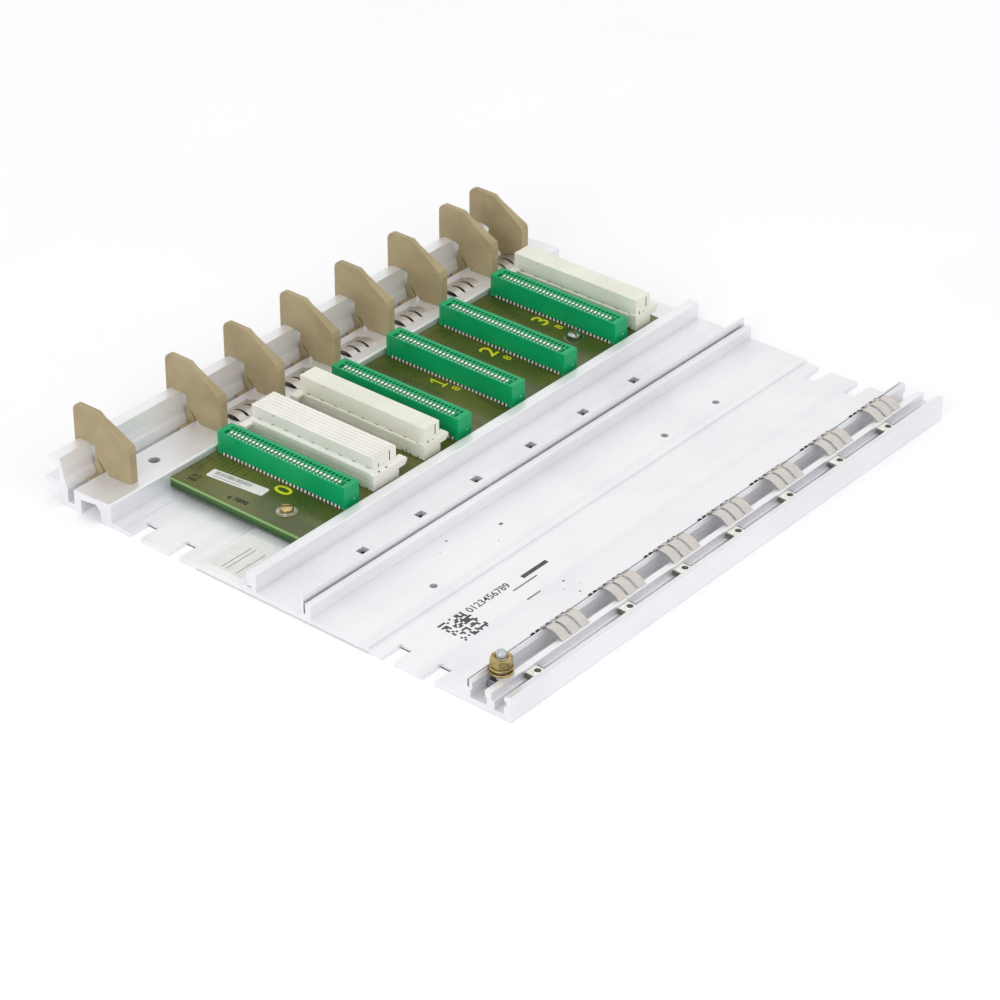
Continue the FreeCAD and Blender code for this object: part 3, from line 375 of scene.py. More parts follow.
class Graph:
    """A node tree with short ways to add and join nodes."""

    def __init__(self, tree: bpy.types.NodeTree) -> None:
        """Work on a tree.

        Args:
            tree: The tree that nodes are added to.
        """
        self.tree = tree

    def add(self, kind: str, inputs: dict[Any, Any] | None = None, **settings: Any) -> bpy.types.Node:
        """Add a node.

        Args:
            kind: The node's type.
            inputs: Values or sockets for its inputs, by name or index.
            settings: Its other settings.

        Returns:
            The node.
        """
        node = self.tree.nodes.new(kind)
        for key, value in settings.items():
            setattr(node, key, value)
        for key, value in (inputs or {}).items():
            if isinstance(value, bpy.types.NodeSocket):
                self.tree.links.new(value, node.inputs[key])
            else:
                node.inputs[key].default_value = value
        return node

    def math(self, operation: str, first: Any, second: Any = 0.0,
             clamp: bool = False) -> bpy.types.NodeSocket:
        """Join two numbers.

        Args:
            operation: What is done with them.
            first: The first number or socket.
            second: The second number or socket.
            clamp: Whether the result is held between 0 and 1.

        Returns:
            The result's socket.
        """
        node = self.add("ShaderNodeMath", {0: first, 1: second}, operation=operation, use_clamp=clamp)
        return node.outputs[0]

    def mix(self, share: Any, first: Any, second: Any) -> bpy.types.NodeSocket:
        """Mix two colours.

        Args:
            share: How much of the second colour shows.
            first: The first colour.
            second: The second colour.

        Returns:
            The mixed colour's socket.
        """
        node = self.add("ShaderNodeMix", {0: share, 6: first, 7: second}, data_type="RGBA")
        return node.outputs[2]

    def spread(self, value: Any, low: float, high: float, to_low: float,
               to_high: float) -> bpy.types.NodeSocket:
        """Map a span of numbers onto another, smoothly and held at its ends.

        Args:
            value: The number.
            low: Start of the span.
            high: End of the span.
            to_low: What the start becomes.
            to_high: What the end becomes.

        Returns:
            The result's socket.
        """
        node = self.add("ShaderNodeMapRange", {0: value, 1: low, 2: high, 3: to_low, 4: to_high},
                        interpolation_type="SMOOTHSTEP")
        return node.outputs[0]

    def place(self, stretch: Sequence[float] = (1.0, 1.0, 1.0)) -> bpy.types.NodeSocket:
        """Give the place on the object, stretched along its axes.

        Args:
            stretch: Factor along each axis.

        Returns:
            The place's socket.
        """
        coordinates = self.add("ShaderNodeTexCoord").outputs["Object"]
        node = self.add("ShaderNodeVectorMath", {0: coordinates, 1: tuple(stretch)}, operation="MULTIPLY")
        return node.outputs[0]

    def noise(self, scale: float, detail: float = 2.0,
              stretch: Sequence[float] = (1.0, 1.0, 1.0)) -> bpy.types.NodeSocket:
        """Give an uneven value over the object.

        Args:
            scale: Its fineness per metre.
            detail: Its octaves.
            stretch: Factor along each axis.

        Returns:
            The value's socket.
        """
        inputs = {"Vector": self.place(stretch), "Scale": scale, "Detail": detail}
        return self.add("ShaderNodeTexNoise", inputs).outputs[0]

    def effect(self, group: bpy.types.NodeTree, **inputs: Any) -> bpy.types.Node:
        """Place a shared effect.

        Args:
            group: The effect's group.
            inputs: Its inputs by name.

        Returns:
            The group's node.
        """
        node = self.add("ShaderNodeGroup", node_tree=group)
        for key, value in inputs.items():
            node.inputs[key].default_value = value
        return node


def new_group(name: str, inputs: dict[str, float], outputs: dict[str, str]) -> tuple[Graph, Any, Any]:
    """Start a shared effect.

    Args:
        name: The group's name.
        inputs: Its inputs with their values.
        outputs: Its outputs with their socket types.

    Returns:
        The group's graph, its input node and its output node.
    """
    tree = bpy.data.node_groups.new(name, "ShaderNodeTree")
    for key, value in inputs.items():
        socket = tree.interface.new_socket(name=key, in_out="INPUT", socket_type="NodeSocketFloat")
        socket.default_value = value
    for key, kind in outputs.items():
        tree.interface.new_socket(name=key, in_out="OUTPUT", socket_type=kind)
    graph = Graph(tree)
    return graph, graph.add("NodeGroupInput"), graph.add("NodeGroupOutput")


def build_arris() -> bpy.types.NodeTree:
    """Build the effect of rounded edges, with an edge mask that the materials use for rubbed edges and, in
    the plastics, a painted highlight.

    Returns:
        A group that gives the edge mask for rubbed edges and painted highlight, and the rounded normal.
    """
    graph, given, result = new_group(
        "arris", {"Radius": 0.0003, "Wear": 4.0},
        {"Mask": "NodeSocketFloat", "Normal": "NodeSocketVector"})
    bevel = graph.add("ShaderNodeBevel", {"Radius": given.outputs["Radius"]}, samples=4)
    flat = graph.add("ShaderNodeNewGeometry").outputs["Normal"]
    turn = graph.add("ShaderNodeVectorMath", {0: bevel.outputs[0], 1: flat}, operation="DOT_PRODUCT")
    bent = graph.math("SUBTRACT", 1.0, turn.outputs["Value"])
    uneven = graph.spread(graph.noise(420.0, 4.0), 0.3, 0.7, 0.35, 1.3)
    worn = graph.math("MULTIPLY", graph.math("MULTIPLY", bent, given.outputs["Wear"]), uneven, clamp=True)
    graph.tree.links.new(worn, result.inputs["Mask"])
    graph.tree.links.new(bevel.outputs[0], result.inputs["Normal"])
    return graph.tree


def build_grime() -> bpy.types.NodeTree:
    """Build the effect of painted shade, with some soiling, that darkens corners and bores by their
    occlusion.

    Returns:
        A group that gives the mask of that painted shade and soiling.
    """
    graph, given, result = new_group("grime", {"Reach": 0.004, "Strength": 1.0}, {"Mask": "NodeSocketFloat"})
    corner = graph.add("ShaderNodeAmbientOcclusion", {"Distance": given.outputs["Reach"]}, samples=6)
    closed = graph.spread(corner.outputs["AO"], 0.12, 0.58, 1.0, 0.0)
    uneven = graph.spread(graph.noise(170.0, 4.0), 0.35, 0.65, 0.45, 1.0)
    strong = graph.math("MULTIPLY", closed, given.outputs["Strength"])
    share = graph.math("MULTIPLY", strong, uneven, clamp=True)
    graph.tree.links.new(share, result.inputs["Mask"])
    return graph.tree


def build_mottle() -> bpy.types.NodeTree:
    """Build the effect of broad uneven tone with fine grain.

    Returns:
        A group that gives a broad tone and a fine grain, both about a half.
    """
    graph, given, result = new_group(
        "mottle", {"Broad": 40.0, "Fine": 2400.0},
        {"Tone": "NodeSocketFloat", "Grain": "NodeSocketFloat"})
    place = graph.place()
    for key, output, detail in (("Broad", "Tone", 5.0), ("Fine", "Grain", 3.0)):
        inputs = {"Vector": place, "Scale": given.outputs[key], "Detail": detail}
        noise = graph.add("ShaderNodeTexNoise", inputs)
        graph.tree.links.new(noise.outputs[0], result.inputs[output])
    return graph.tree


def build_specks() -> bpy.types.NodeTree:
    """Build the effect of scattered small marks and dust.

    Returns:
        A group that gives the marks' mask.
    """
    graph, given, result = new_group(
        "specks", {"Scale": 160.0, "Size": 0.1}, {"Mask": "NodeSocketFloat"})
    cells = graph.add("ShaderNodeTexVoronoi", {"Vector": graph.place(), "Scale": given.outputs["Scale"]})
    patchy = graph.spread(graph.noise(18.0, 3.0), 0.45, 0.7, 0.0, 1.0)
    reach = graph.math("MULTIPLY", given.outputs["Size"], patchy)
    inside = graph.math("SUBTRACT", reach, cells.outputs["Distance"])
    mask = graph.math("MULTIPLY", inside, 30.0, clamp=True)
    graph.tree.links.new(mask, result.inputs["Mask"])
    return graph.tree


def build_streaks() -> bpy.types.NodeTree:
    """Build the effect of fine lines along the rails.

    Returns:
        A group that gives fine lines and broad bands, both about a half.
    """
    graph, given, result = new_group(
        "streaks", {"Fine": 900.0, "Band": 60.0},
        {"Lines": "NodeSocketFloat", "Bands": "NodeSocketFloat"})
    place = graph.place((0.012, 1.0, 1.0))
    for key, output, detail in (("Fine", "Lines", 3.0), ("Band", "Bands", 4.0)):
        inputs = {"Vector": place, "Scale": given.outputs[key], "Detail": detail}
        noise = graph.add("ShaderNodeTexNoise", inputs)
        graph.tree.links.new(noise.outputs[0], result.inputs[output])
    return graph.tree


class Effects:
    """The shared effects, each built once."""

    arris: bpy.types.NodeTree
    grime: bpy.types.NodeTree
    mottle: bpy.types.NodeTree
    specks: bpy.types.NodeTree
    streaks: bpy.types.NodeTree

    @classmethod
    def build(cls) -> None:
        """Build all the shared effects."""
        cls.arris = build_arris()
        cls.grime = build_grime()
        cls.mottle = build_mottle()
        cls.specks = build_specks()
        cls.streaks = build_streaks()


def new_material(name: str) -> tuple[bpy.types.Material, Graph, bpy.types.Node]:
    """Start a material.

    Args:
        name: The material's name.

    Returns:
        The material, its graph and its surface shader.
    """
    material = bpy.data.materials.new(name)
    material.use_nodes = True
    return material, Graph(material.node_tree), material.node_tree.nodes["Principled BSDF"]


@dataclass(frozen=True)
class Moulded:
    """A moulded plastic with a fine grain, paler edges that are partly rubbed and partly a painted highlight,
    and where asked painted shade with some soiling in its corners.
    """

    name: str
    color: Color
    shade: Color
    # Paler edge colour: partly rubbed edges, partly a painted edge highlight.
    worn: Color
    roughness: float = 0.5
    grain: float = 2600.0
    depth: float = 0.02
    arris: float = 0.3
    wear: float = 3.0
    dust: float = 0.06
    sheen: float = 0.35
    # Strength and colour of painted shade, with some soiling, in corners and recesses.
    grime: float = 0.0
    dirt: Color = srgb(60, 52, 40)

    def material(self) -> bpy.types.Material:
        """Build the plastic's material.

        Returns:
            The material.
        """
        material, graph, surface = new_material(self.name)
        mottle = graph.effect(Effects.mottle, Broad=55.0, Fine=self.grain)
        arris = graph.effect(Effects.arris, Radius=self.arris * MM, Wear=self.wear)
        specks = graph.effect(Effects.specks, Scale=420.0, Size=self.dust)
        tone = graph.spread(mottle.outputs["Tone"], 0.32, 0.68, 0.0, 1.0)
        body = graph.mix(tone, self.shade, self.color)
        # Edges take the paler colour: partly rubbing, partly a painted highlight.
        edged = graph.mix(arris.outputs["Mask"], body, self.worn)
        shown = graph.mix(graph.math("MULTIPLY", specks.outputs["Mask"], 0.35), edged, self.worn)
        # Painted shade, with some soiling, darkens corners and recesses where light is blocked.
        if self.grime > 0.0:
            corners = graph.effect(Effects.grime, Reach=3.0 * MM, Strength=self.grime)
            shown = graph.mix(corners.outputs["Mask"], shown, self.dirt)
        graph.tree.links.new(shown, surface.inputs["Base Color"])
        surface.inputs["Specular IOR Level"].default_value = self.sheen
        gloss = graph.spread(mottle.outputs["Grain"], 0.3, 0.7, self.roughness - 0.07, self.roughness + 0.07)
        graph.tree.links.new(gloss, surface.inputs["Roughness"])
        bump = graph.add("ShaderNodeBump", {"Height": mottle.outputs["Grain"], "Strength": 0.5,
                                            "Distance": self.depth * MM, "Normal": arris.outputs["Normal"]})
        graph.tree.links.new(bump.outputs[0], surface.inputs["Normal"])
        return material


@dataclass(frozen=True)
class Plated:
    """A plated metal with fine scratches, a patchy tarnish and, where asked, painted shade with some soiling
    in its corners.
    """

    name: str
    color: Color
    tarnish: Color
    roughness: float = 0.3
    arris: float = 0.2
    metallic: float = 1.0
    patches: float = 0.6
    # Strength and colour of painted shade, with some soiling, in corners.
    grime: float = 0.0
    dirt: Color = srgb(74, 64, 54)

    def material(self) -> bpy.types.Material:
        """Build the metal's material.

        Returns:
            The material.
        """
        material, graph, surface = new_material(self.name)
        mottle = graph.effect(Effects.mottle, Broad=260.0, Fine=1800.0)
        arris = graph.effect(Effects.arris, Radius=self.arris * MM, Wear=2.0)
        patch = graph.spread(mottle.outputs["Tone"], 0.42, 0.7, 0.0, self.patches)
        shown = graph.mix(patch, self.color, self.tarnish)
        # Painted shade, with some soiling, darkens corners where light is blocked.
        if self.grime > 0.0:
            corners = graph.effect(Effects.grime, Reach=2.5 * MM, Strength=self.grime)
            shown = graph.mix(corners.outputs["Mask"], shown, self.dirt)
        graph.tree.links.new(shown, surface.inputs["Base Color"])
        gloss = graph.spread(mottle.outputs["Grain"], 0.3, 0.7, self.roughness - 0.08, self.roughness + 0.1)
        graph.tree.links.new(gloss, surface.inputs["Roughness"])
        surface.inputs["Metallic"].default_value = self.metallic
        bump = graph.add("ShaderNodeBump", {"Height": mottle.outputs["Grain"], "Strength": 0.35,
                                            "Distance": 0.01 * MM, "Normal": arris.outputs["Normal"]})
        graph.tree.links.new(bump.outputs[0], surface.inputs["Normal"])
        return material


@dataclass(frozen=True)
class Stain:
    """A spot on the panel, by its place from the panel's near lower corner."""

    x: float
    y: float
    radius: float
    strength: float


@dataclass(frozen=True)
class ExtrudedAluminium:
    """Bright raw aluminium with lines along the extrusion, scuffs, a few stains and painted shade, with some
    soiling, in its corners and bores.
    """

    name: str = "extruded_aluminium"
    color: Color = srgb(245, 245, 247)
    shade: Color = srgb(231, 231, 236)
    bare: Color = srgb(251, 251, 252)
    brown: Color = srgb(96, 52, 34)
    # Colour of the painted shade, with some soiling, in corners and bores.
    dirt: Color = srgb(98, 90, 82)
    metallic: float = 0.45
    stains: tuple[Stain, ...] = (
        Stain(93.5, 118.5, 1.0, 0.9), Stain(122.7, 107.9, 1.2, 1.0), Stain(110.3, 99.1, 0.5, 0.8),
        Stain(82.9, 113.6, 0.5, 0.7), Stain(104.2, 53.5, 0.8, 0.9), Stain(102.6, 41.7, 0.7, 0.85),
        Stain(99.0, 49.0, 0.5, 0.8), Stain(108.5, 46.0, 0.45, 0.8),
    )

    def material(self) -> bpy.types.Material:
        """Build the aluminium's material.

        Returns:
            The material.
        """
        material, graph, surface = new_material(self.name)
        streaks = graph.effect(Effects.streaks, Fine=1500.0, Band=110.0)
        mottle = graph.effect(Effects.mottle, Broad=16.0, Fine=3200.0)
        arris = graph.effect(Effects.arris, Radius=0.35 * MM, Wear=3.0)
        specks = graph.effect(Effects.specks, Scale=230.0, Size=0.08)
        bands = graph.spread(streaks.outputs["Bands"], 0.4, 0.75, 0.0, 0.5)
        cloud = graph.spread(mottle.outputs["Tone"], 0.4, 0.7, 0.0, 0.4)
        body = graph.mix(graph.math("ADD", bands, cloud, clamp=True), self.color, self.shade)
        edged = graph.mix(arris.outputs["Mask"], body, self.bare)
        marked = graph.mix(graph.math("MULTIPLY", specks.outputs["Mask"], 0.4), edged, self.shade)
        # Painted shade, with some soiling, darkens corners and bores where light is blocked.
        grime = graph.effect(Effects.grime, Reach=3.0 * MM, Strength=0.4)
        shaded_and_dirty = graph.mix(grime.outputs["Mask"], marked, self.dirt)
        spots = graph.mix(self.spots(graph), shaded_and_dirty, self.brown)
        graph.tree.links.new(spots, surface.inputs["Base Color"])
        gloss = graph.spread(streaks.outputs["Lines"], 0.3, 0.7, 0.3, 0.46)
        graph.tree.links.new(gloss, surface.inputs["Roughness"])
        surface.inputs["Metallic"].default_value = self.metallic
        relief = graph.math("ADD", streaks.outputs["Lines"], mottle.outputs["Grain"])
        bump = graph.add("ShaderNodeBump", {"Height": relief, "Strength": 0.3,
                                            "Distance": 0.015 * MM, "Normal": arris.outputs["Normal"]})
        graph.tree.links.new(bump.outputs[0], surface.inputs["Normal"])
        return material

    def spots(self, graph: Graph) -> bpy.types.NodeSocket:
        """Give the stains' mask.

        Args:
            graph: The material's graph.

        Returns:
            The mask's socket.
        """
        flat = graph.place((1.0, 1.0, 0.0))
        ragged = graph.spread(graph.noise(900.0, 3.0), 0.3, 0.7, 0.6, 1.4)
        mask: Any = 0.0
        for stain in self.stains:
            x, y = station(stain.x, stain.y)
            middle = (x * MM, y * MM, 0.0)
            away = graph.add("ShaderNodeVectorMath", {0: flat, 1: middle}, operation="DISTANCE")
            reach = graph.math("MULTIPLY", away.outputs["Value"], ragged)
            spot = graph.spread(reach, stain.radius * 0.5 * MM, stain.radius * MM, stain.strength, 0.0)
            mask = graph.math("MAXIMUM", mask, spot)
        return mask


@dataclass(frozen=True)
class BoardLacquer:
    """Olive lacquer over copper, with a bright cut edge that takes painted shade below a line, and the weave
    of the laminate.
    """

    name: str = "board_lacquer"
    olive: Color = srgb(72, 84, 22)
    pale: Color = srgb(102, 104, 46)
    deep: Color = srgb(56, 72, 20)
    cut: Color = srgb(138, 182, 104)
    # Colour and level of the painted shade on the lower part of the board's side faces.
    core: Color = srgb(52, 92, 34)
    skin: float = 8.7

    def material(self) -> bpy.types.Material:
        """Build the lacquer's material.

        Returns:
            The material.
        """
        material, graph, surface = new_material(self.name)
        mottle = graph.effect(Effects.mottle, Broad=22.0, Fine=1500.0)
        tone = graph.spread(mottle.outputs["Tone"], 0.35, 0.65, 0.0, 1.0)
        body = graph.mix(tone, self.olive, self.pale)
        copper = graph.spread(graph.noise(70.0, 1.0, (1.0, 0.25, 1.0)), 0.52, 0.56, 0.0, 0.5)
        planes = graph.mix(copper, body, self.deep)
        up = graph.add("ShaderNodeSeparateXYZ", {0: graph.add("ShaderNodeNewGeometry").outputs["Normal"]})
        side = graph.spread(graph.math("ABSOLUTE", up.outputs["Z"]), 0.3, 0.7, 1.0, 0.0)
        # Side faces below the line take painted shade; above it the bright cut edge.
        level = graph.add("ShaderNodeSeparateXYZ", {0: graph.place()}).outputs["Z"]
        skin = graph.spread(level, (self.skin - 0.2) * MM, self.skin * MM, 0.0, 1.0)
        edge = graph.mix(skin, self.core, self.cut)
        graph.tree.links.new(graph.mix(side, planes, edge), surface.inputs["Base Color"])
        gloss = graph.spread(mottle.outputs["Grain"], 0.3, 0.7, 0.2, 0.32)
        graph.tree.links.new(gloss, surface.inputs["Roughness"])
        weave = graph.add("ShaderNodeTexWave", {"Vector": graph.place(), "Scale": 500.0, "Distortion": 1.5})
        bump = graph.add("ShaderNodeBump", {"Height": weave.outputs["Fac"], "Strength": 0.05,
                                            "Distance": 0.006 * MM})
        graph.tree.links.new(bump.outputs[0], surface.inputs["Normal"])
        return material


@dataclass(frozen=True)
class Printed:
    """Ink, paint or paper lying on another surface."""

    name: str
    color: Color
    faded: Color
    roughness: float = 0.55

    def material(self) -> bpy.types.Material:
        """Build the print's material.

        Returns:
            The material.
        """
        material, graph, surface = new_material(self.name)
        mottle = graph.effect(Effects.mottle, Broad=300.0, Fine=2000.0)
        tone = graph.spread(mottle.outputs["Tone"], 0.4, 0.75, 0.0, 1.0)
        graph.tree.links.new(graph.mix(tone, self.color, self.faded), surface.inputs["Base Color"])
        gloss = graph.spread(mottle.outputs["Grain"], 0.3, 0.7, self.roughness - 0.08, self.roughness + 0.08)
        graph.tree.links.new(gloss, surface.inputs["Roughness"])
        bump = graph.add("ShaderNodeBump", {"Height": mottle.outputs["Grain"], "Strength": 0.3,
                                            "Distance": 0.01 * MM})
        graph.tree.links.new(bump.outputs[0], surface.inputs["Normal"])
        return material


class Finishes:
    """The object's materials, each built once."""

    def __init__(self) -> None:
        """Build the shared effects and then every material."""
        Effects.build()
        self.aluminium = ExtrudedAluminium().material()
        self.board = BoardLacquer().material()
        # The sheet's dark green is partly its own colour, partly painted shade under the board's edge.
        self.sheet = Moulded("green_sheet", srgb(46, 84, 30), srgb(38, 72, 26), srgb(84, 120, 62)).material()
        # The green's paler edge colour is mostly a painted highlight along its top edges.
        self.green = Moulded("green_moulding", srgb(0, 171, 106), srgb(0, 162, 98), srgb(96, 222, 176),
                             roughness=0.38, grain=1900.0, depth=0.01, arris=0.22, wear=3.5,
                             dust=0.03).material()
        self.cream = Moulded("cream_moulding", srgb(251, 249, 242), srgb(245, 243, 234), srgb(253, 252, 247),
                             roughness=0.45, grain=2200.0, depth=0.012, arris=0.25, wear=2.0,
                             dust=0.06).material()
        self.grey_cream = Moulded("aged_cream_moulding", srgb(244, 244, 232), srgb(236, 236, 222),
                                  srgb(250, 250, 243), roughness=0.45, grain=2200.0, depth=0.012,
                                  arris=0.25, wear=2.0, dust=0.06).material()
        # The tan takes painted shade, with some soiling, at the guides' feet; its paler edges are partly
        # rubbed, partly a painted highlight.
        self.tan = Moulded("tan_moulding", srgb(180, 164, 128), srgb(165, 149, 115), srgb(222, 211, 184),
                           roughness=0.6, grain=1600.0, depth=0.06, arris=0.5, wear=3.2, dust=0.05,
                           grime=0.8).material()
        self.seam_green = Moulded("green_seam", srgb(0, 92, 58), srgb(0, 78, 48), srgb(0, 120, 80)).material()
        # Near-black finish: painted shade in gaps, holes and windows, and the ink of the stamped figures.
        self.dark = Moulded("painted_shade_and_ink", srgb(38, 40, 36), srgb(28, 30, 28), srgb(60, 60, 56),
                            roughness=0.8).material()
        self.contact = Plated("contact_plate", srgb(246, 245, 240), srgb(222, 220, 212), roughness=0.35,
                              metallic=0.6).material()
        # The spring takes painted shade, with some soiling, in its gaps and under its arches.
        self.spring = Plated("spring_plate", srgb(212, 207, 200), srgb(190, 184, 176), roughness=0.36,
                             metallic=0.8, patches=0.35, grime=0.9).material()
        # Near-white and barely metallic: partly tin's own colour, partly painted light so the tails read
        # bright in the housing's shade.
        self.solder = Plated("solder", srgb(250, 250, 247), srgb(228, 227, 222), roughness=0.4,
                             metallic=0.1).material()
        self.zinc = Plated("zinc_plate", srgb(190, 193, 196), srgb(138, 140, 142), roughness=0.3).material()
        # Darker zinc: the spring washer's own colour, and painted shade at the ends of the threaded inserts.
        self.insert = Plated("dull_zinc_plate", srgb(128, 130, 120), srgb(84, 86, 76),
                             roughness=0.4).material()
        self.yellow = Plated("yellow_zinc_plate", srgb(190, 168, 116), srgb(128, 106, 62),
                             roughness=0.24).material()
        self.tin = Plated("tinned_track", srgb(212, 208, 186), srgb(170, 160, 120), roughness=0.35).material()
        self.track = Printed("lacquered_track", srgb(48, 58, 16), srgb(60, 70, 22), roughness=0.3).material()
        self.paint = Printed("yellow_marking", srgb(226, 226, 20), srgb(208, 212, 30)).material()
        self.paper = Printed("label_paper", srgb(236, 236, 232), srgb(226, 226, 222)).material()
        self.ink = Printed("label_ink", srgb(62, 62, 66), srgb(88, 88, 92)).material()
        self.faint_ink = Printed("faint_ink", srgb(120, 118, 112), srgb(150, 148, 142)).material()


def station(x: float, y: float) -> Point:
    """Turn a place measured from the panel's near lower corner into the frame's.

    Args:
        x: Along the rails.
        y: Across the panel.

    Returns:
        The place in the frame, in millimetres.
    """
    low, _ = node_box("back_panel")
    return low.x + x, low.y + y


@dataclass(frozen=True)
class Lamp:
    """A soft square lamp that faces the object."""

    name: str
    position: tuple[float, float, float]
    size: float
    power: float
    color: tuple[float, float, float] = (1.0, 1.0, 1.0)

    def build(self) -> None:
        """Hang the lamp."""
        data = bpy.data.lights.new(self.name, "AREA")
        data.size = self.size
        data.energy = self.power
        data.color = self.color
        lamp = bpy.data.objects.new(self.name, data)
        lamp.location = self.position
        lamp.rotation_mode = "QUATERNION"
        lamp.rotation_quaternion = Vector(self.position).to_track_quat("Z", "Y")
        bpy.context.scene.collection.objects.link(lamp)


@dataclass
class Studio:
    """Camera, lamps, world and floor."""

    position: tuple[float, float, float] = (-1.17040, -0.96921, 0.93058)
    azimuth: float = -50.32
    elevation: float = 32.189
    roll: float = 0.136
    lens: float = 124.93
    sensor: float = 36.0
    sky: float = 0.79
    floor_size: float = 12.0
    floor_glow: float = 0.15
    shade_inset: Point = (13.0, 0.6)
    shade_back: float = 18.0
    lamps: tuple[Lamp, ...] = (
        Lamp("overhead", (0.5, 0.4, 2.2), 1.0, 3.0),
        Lamp("right_front", (-0.3, -2.1, 1.1), 1.2, 4.5),
        Lamp("left_front", (-2.1, -0.5, 1.0), 1.2, 10.0),
    )

    def build(self) -> None:
        """Set up the studio."""
        self.hang_camera()
        for lamp in self.lamps:
            lamp.build()
        self.light_world()
        self.lay_floor()
        bpy.context.scene.view_settings.view_transform = "Standard"

    def hang_camera(self) -> None:
        """Place the camera at the photograph's viewpoint."""
        a, e, r = (math.radians(v) for v in (self.azimuth, self.elevation, self.roll))
        ahead = Vector((-math.sin(a) * math.cos(e), math.cos(a) * math.cos(e), -math.sin(e)))
        right = Vector((math.cos(a), math.sin(a), 0.0))
        up = right.cross(ahead)
        turned_right = right * math.cos(r) + up * math.sin(r)
        turned_up = up * math.cos(r) - right * math.sin(r)
        data = bpy.data.cameras.new("camera")
        data.lens = self.lens
        data.sensor_width = self.sensor
        data.clip_start, data.clip_end = 0.05, 50.0
        camera = bpy.data.objects.new("camera", data)
        turn = Matrix((turned_right, turned_up, -ahead)).transposed()
        camera.matrix_world = Matrix.Translation(self.position) @ turn.to_4x4()
        bpy.context.scene.collection.objects.link(camera)
        bpy.context.scene.camera = camera

    def light_world(self) -> None:
        """Give an even sky that looks white to the camera and in reflections."""
        world = bpy.data.worlds.new("studio")
        world.use_nodes = True
        bpy.context.scene.world = world
        graph = Graph(world.node_tree)
        seen = self.seen_share(graph)
        strength = graph.math("MULTIPLY_ADD", seen, 1.0 - self.sky)
        strength.node.inputs[2].default_value = self.sky
        background = world.node_tree.nodes["Background"]
        background.inputs["Color"].default_value = (1.0, 1.0, 1.0, 1.0)
        world.node_tree.links.new(strength, background.inputs["Strength"])

    def seen_share(self, graph: Graph) -> bpy.types.NodeSocket:
        """Give 1 for what the camera sees straight, mirrored or through glass, and 0 for light.

        Args:
            graph: The graph that asks.

        Returns:
            The share's socket.
        """
        path = graph.add("ShaderNodeLightPath").outputs
        mirrored = graph.math("MAXIMUM", path["Is Glossy Ray"], path["Is Transmission Ray"])
        return graph.math("MAXIMUM", path["Is Camera Ray"], mirrored)

    def lay_floor(self) -> None:
        """Lay a pale floor that keeps the object's shadow."""
        half = self.floor_size / 2
        data = bpy.data.meshes.new("floor")
        corners = [(-half, -half, 0.0), (half, -half, 0.0), (half, half, 0.0), (-half, half, 0.0)]
        data.from_pydata(corners, [], [(0, 1, 2, 3)])
        floor = bpy.data.objects.new("floor", data)
        floor.location.z = -0.02 * MM
        bpy.context.scene.collection.objects.link(floor)
        material, graph, surface = new_material("studio_floor")
        tone = graph.spread(graph.noise(6.0, 2.0), 0.3, 0.7, 0.0, 1.0)
        paper = graph.mix(tone, srgb(244, 244, 246), srgb(246, 246, 248))
        graph.tree.links.new(paper, surface.inputs["Base Color"])
        surface.inputs["Roughness"].default_value = 0.9
        surface.inputs["Specular IOR Level"].default_value = 0.0
        surface.inputs["Emission Strength"].default_value = 1.0
        seen = self.seen_share(graph)
        lit = (self.floor_glow, self.floor_glow, self.floor_glow, 1.0)
        glow = graph.mix(seen, (0.0, 0.0, 0.0, 1.0), lit)
        graph.tree.links.new(glow, surface.inputs["Emission Color"])
        data.materials.append(material)
        self.lay_under_shade()

    def lay_under_shade(self) -> None:
        """Lay a dark patch of painted shade under the panel, which shows through its holes and slots."""
        low, high = node_box("back_panel")
        inset_x, inset_y = self.shade_inset
        near, far = low.y + inset_y, high.y - self.shade_back
        left, right = low.x + inset_x, high.x - inset_x
        corners = [(left, near), (right, near), (right, far), (left, far)]
        data = bpy.data.meshes.new("under_shade")
        data.from_pydata([(x * MM, y * MM, -0.01 * MM) for x, y in corners], [], [(0, 1, 2, 3)])
        shade = bpy.data.objects.new("under_shade", data)
        bpy.context.scene.collection.objects.link(shade)
        material, graph, surface = new_material("under_shade")
        tone = graph.spread(graph.noise(90.0, 3.0), 0.3, 0.7, 0.0, 1.0)
        under_shade_tone = graph.mix(tone, srgb(40, 38, 36), srgb(60, 56, 52))
        graph.tree.links.new(under_shade_tone, surface.inputs["Base Color"])
        surface.inputs["Roughness"].default_value = 0.9
        data.materials.append(material)


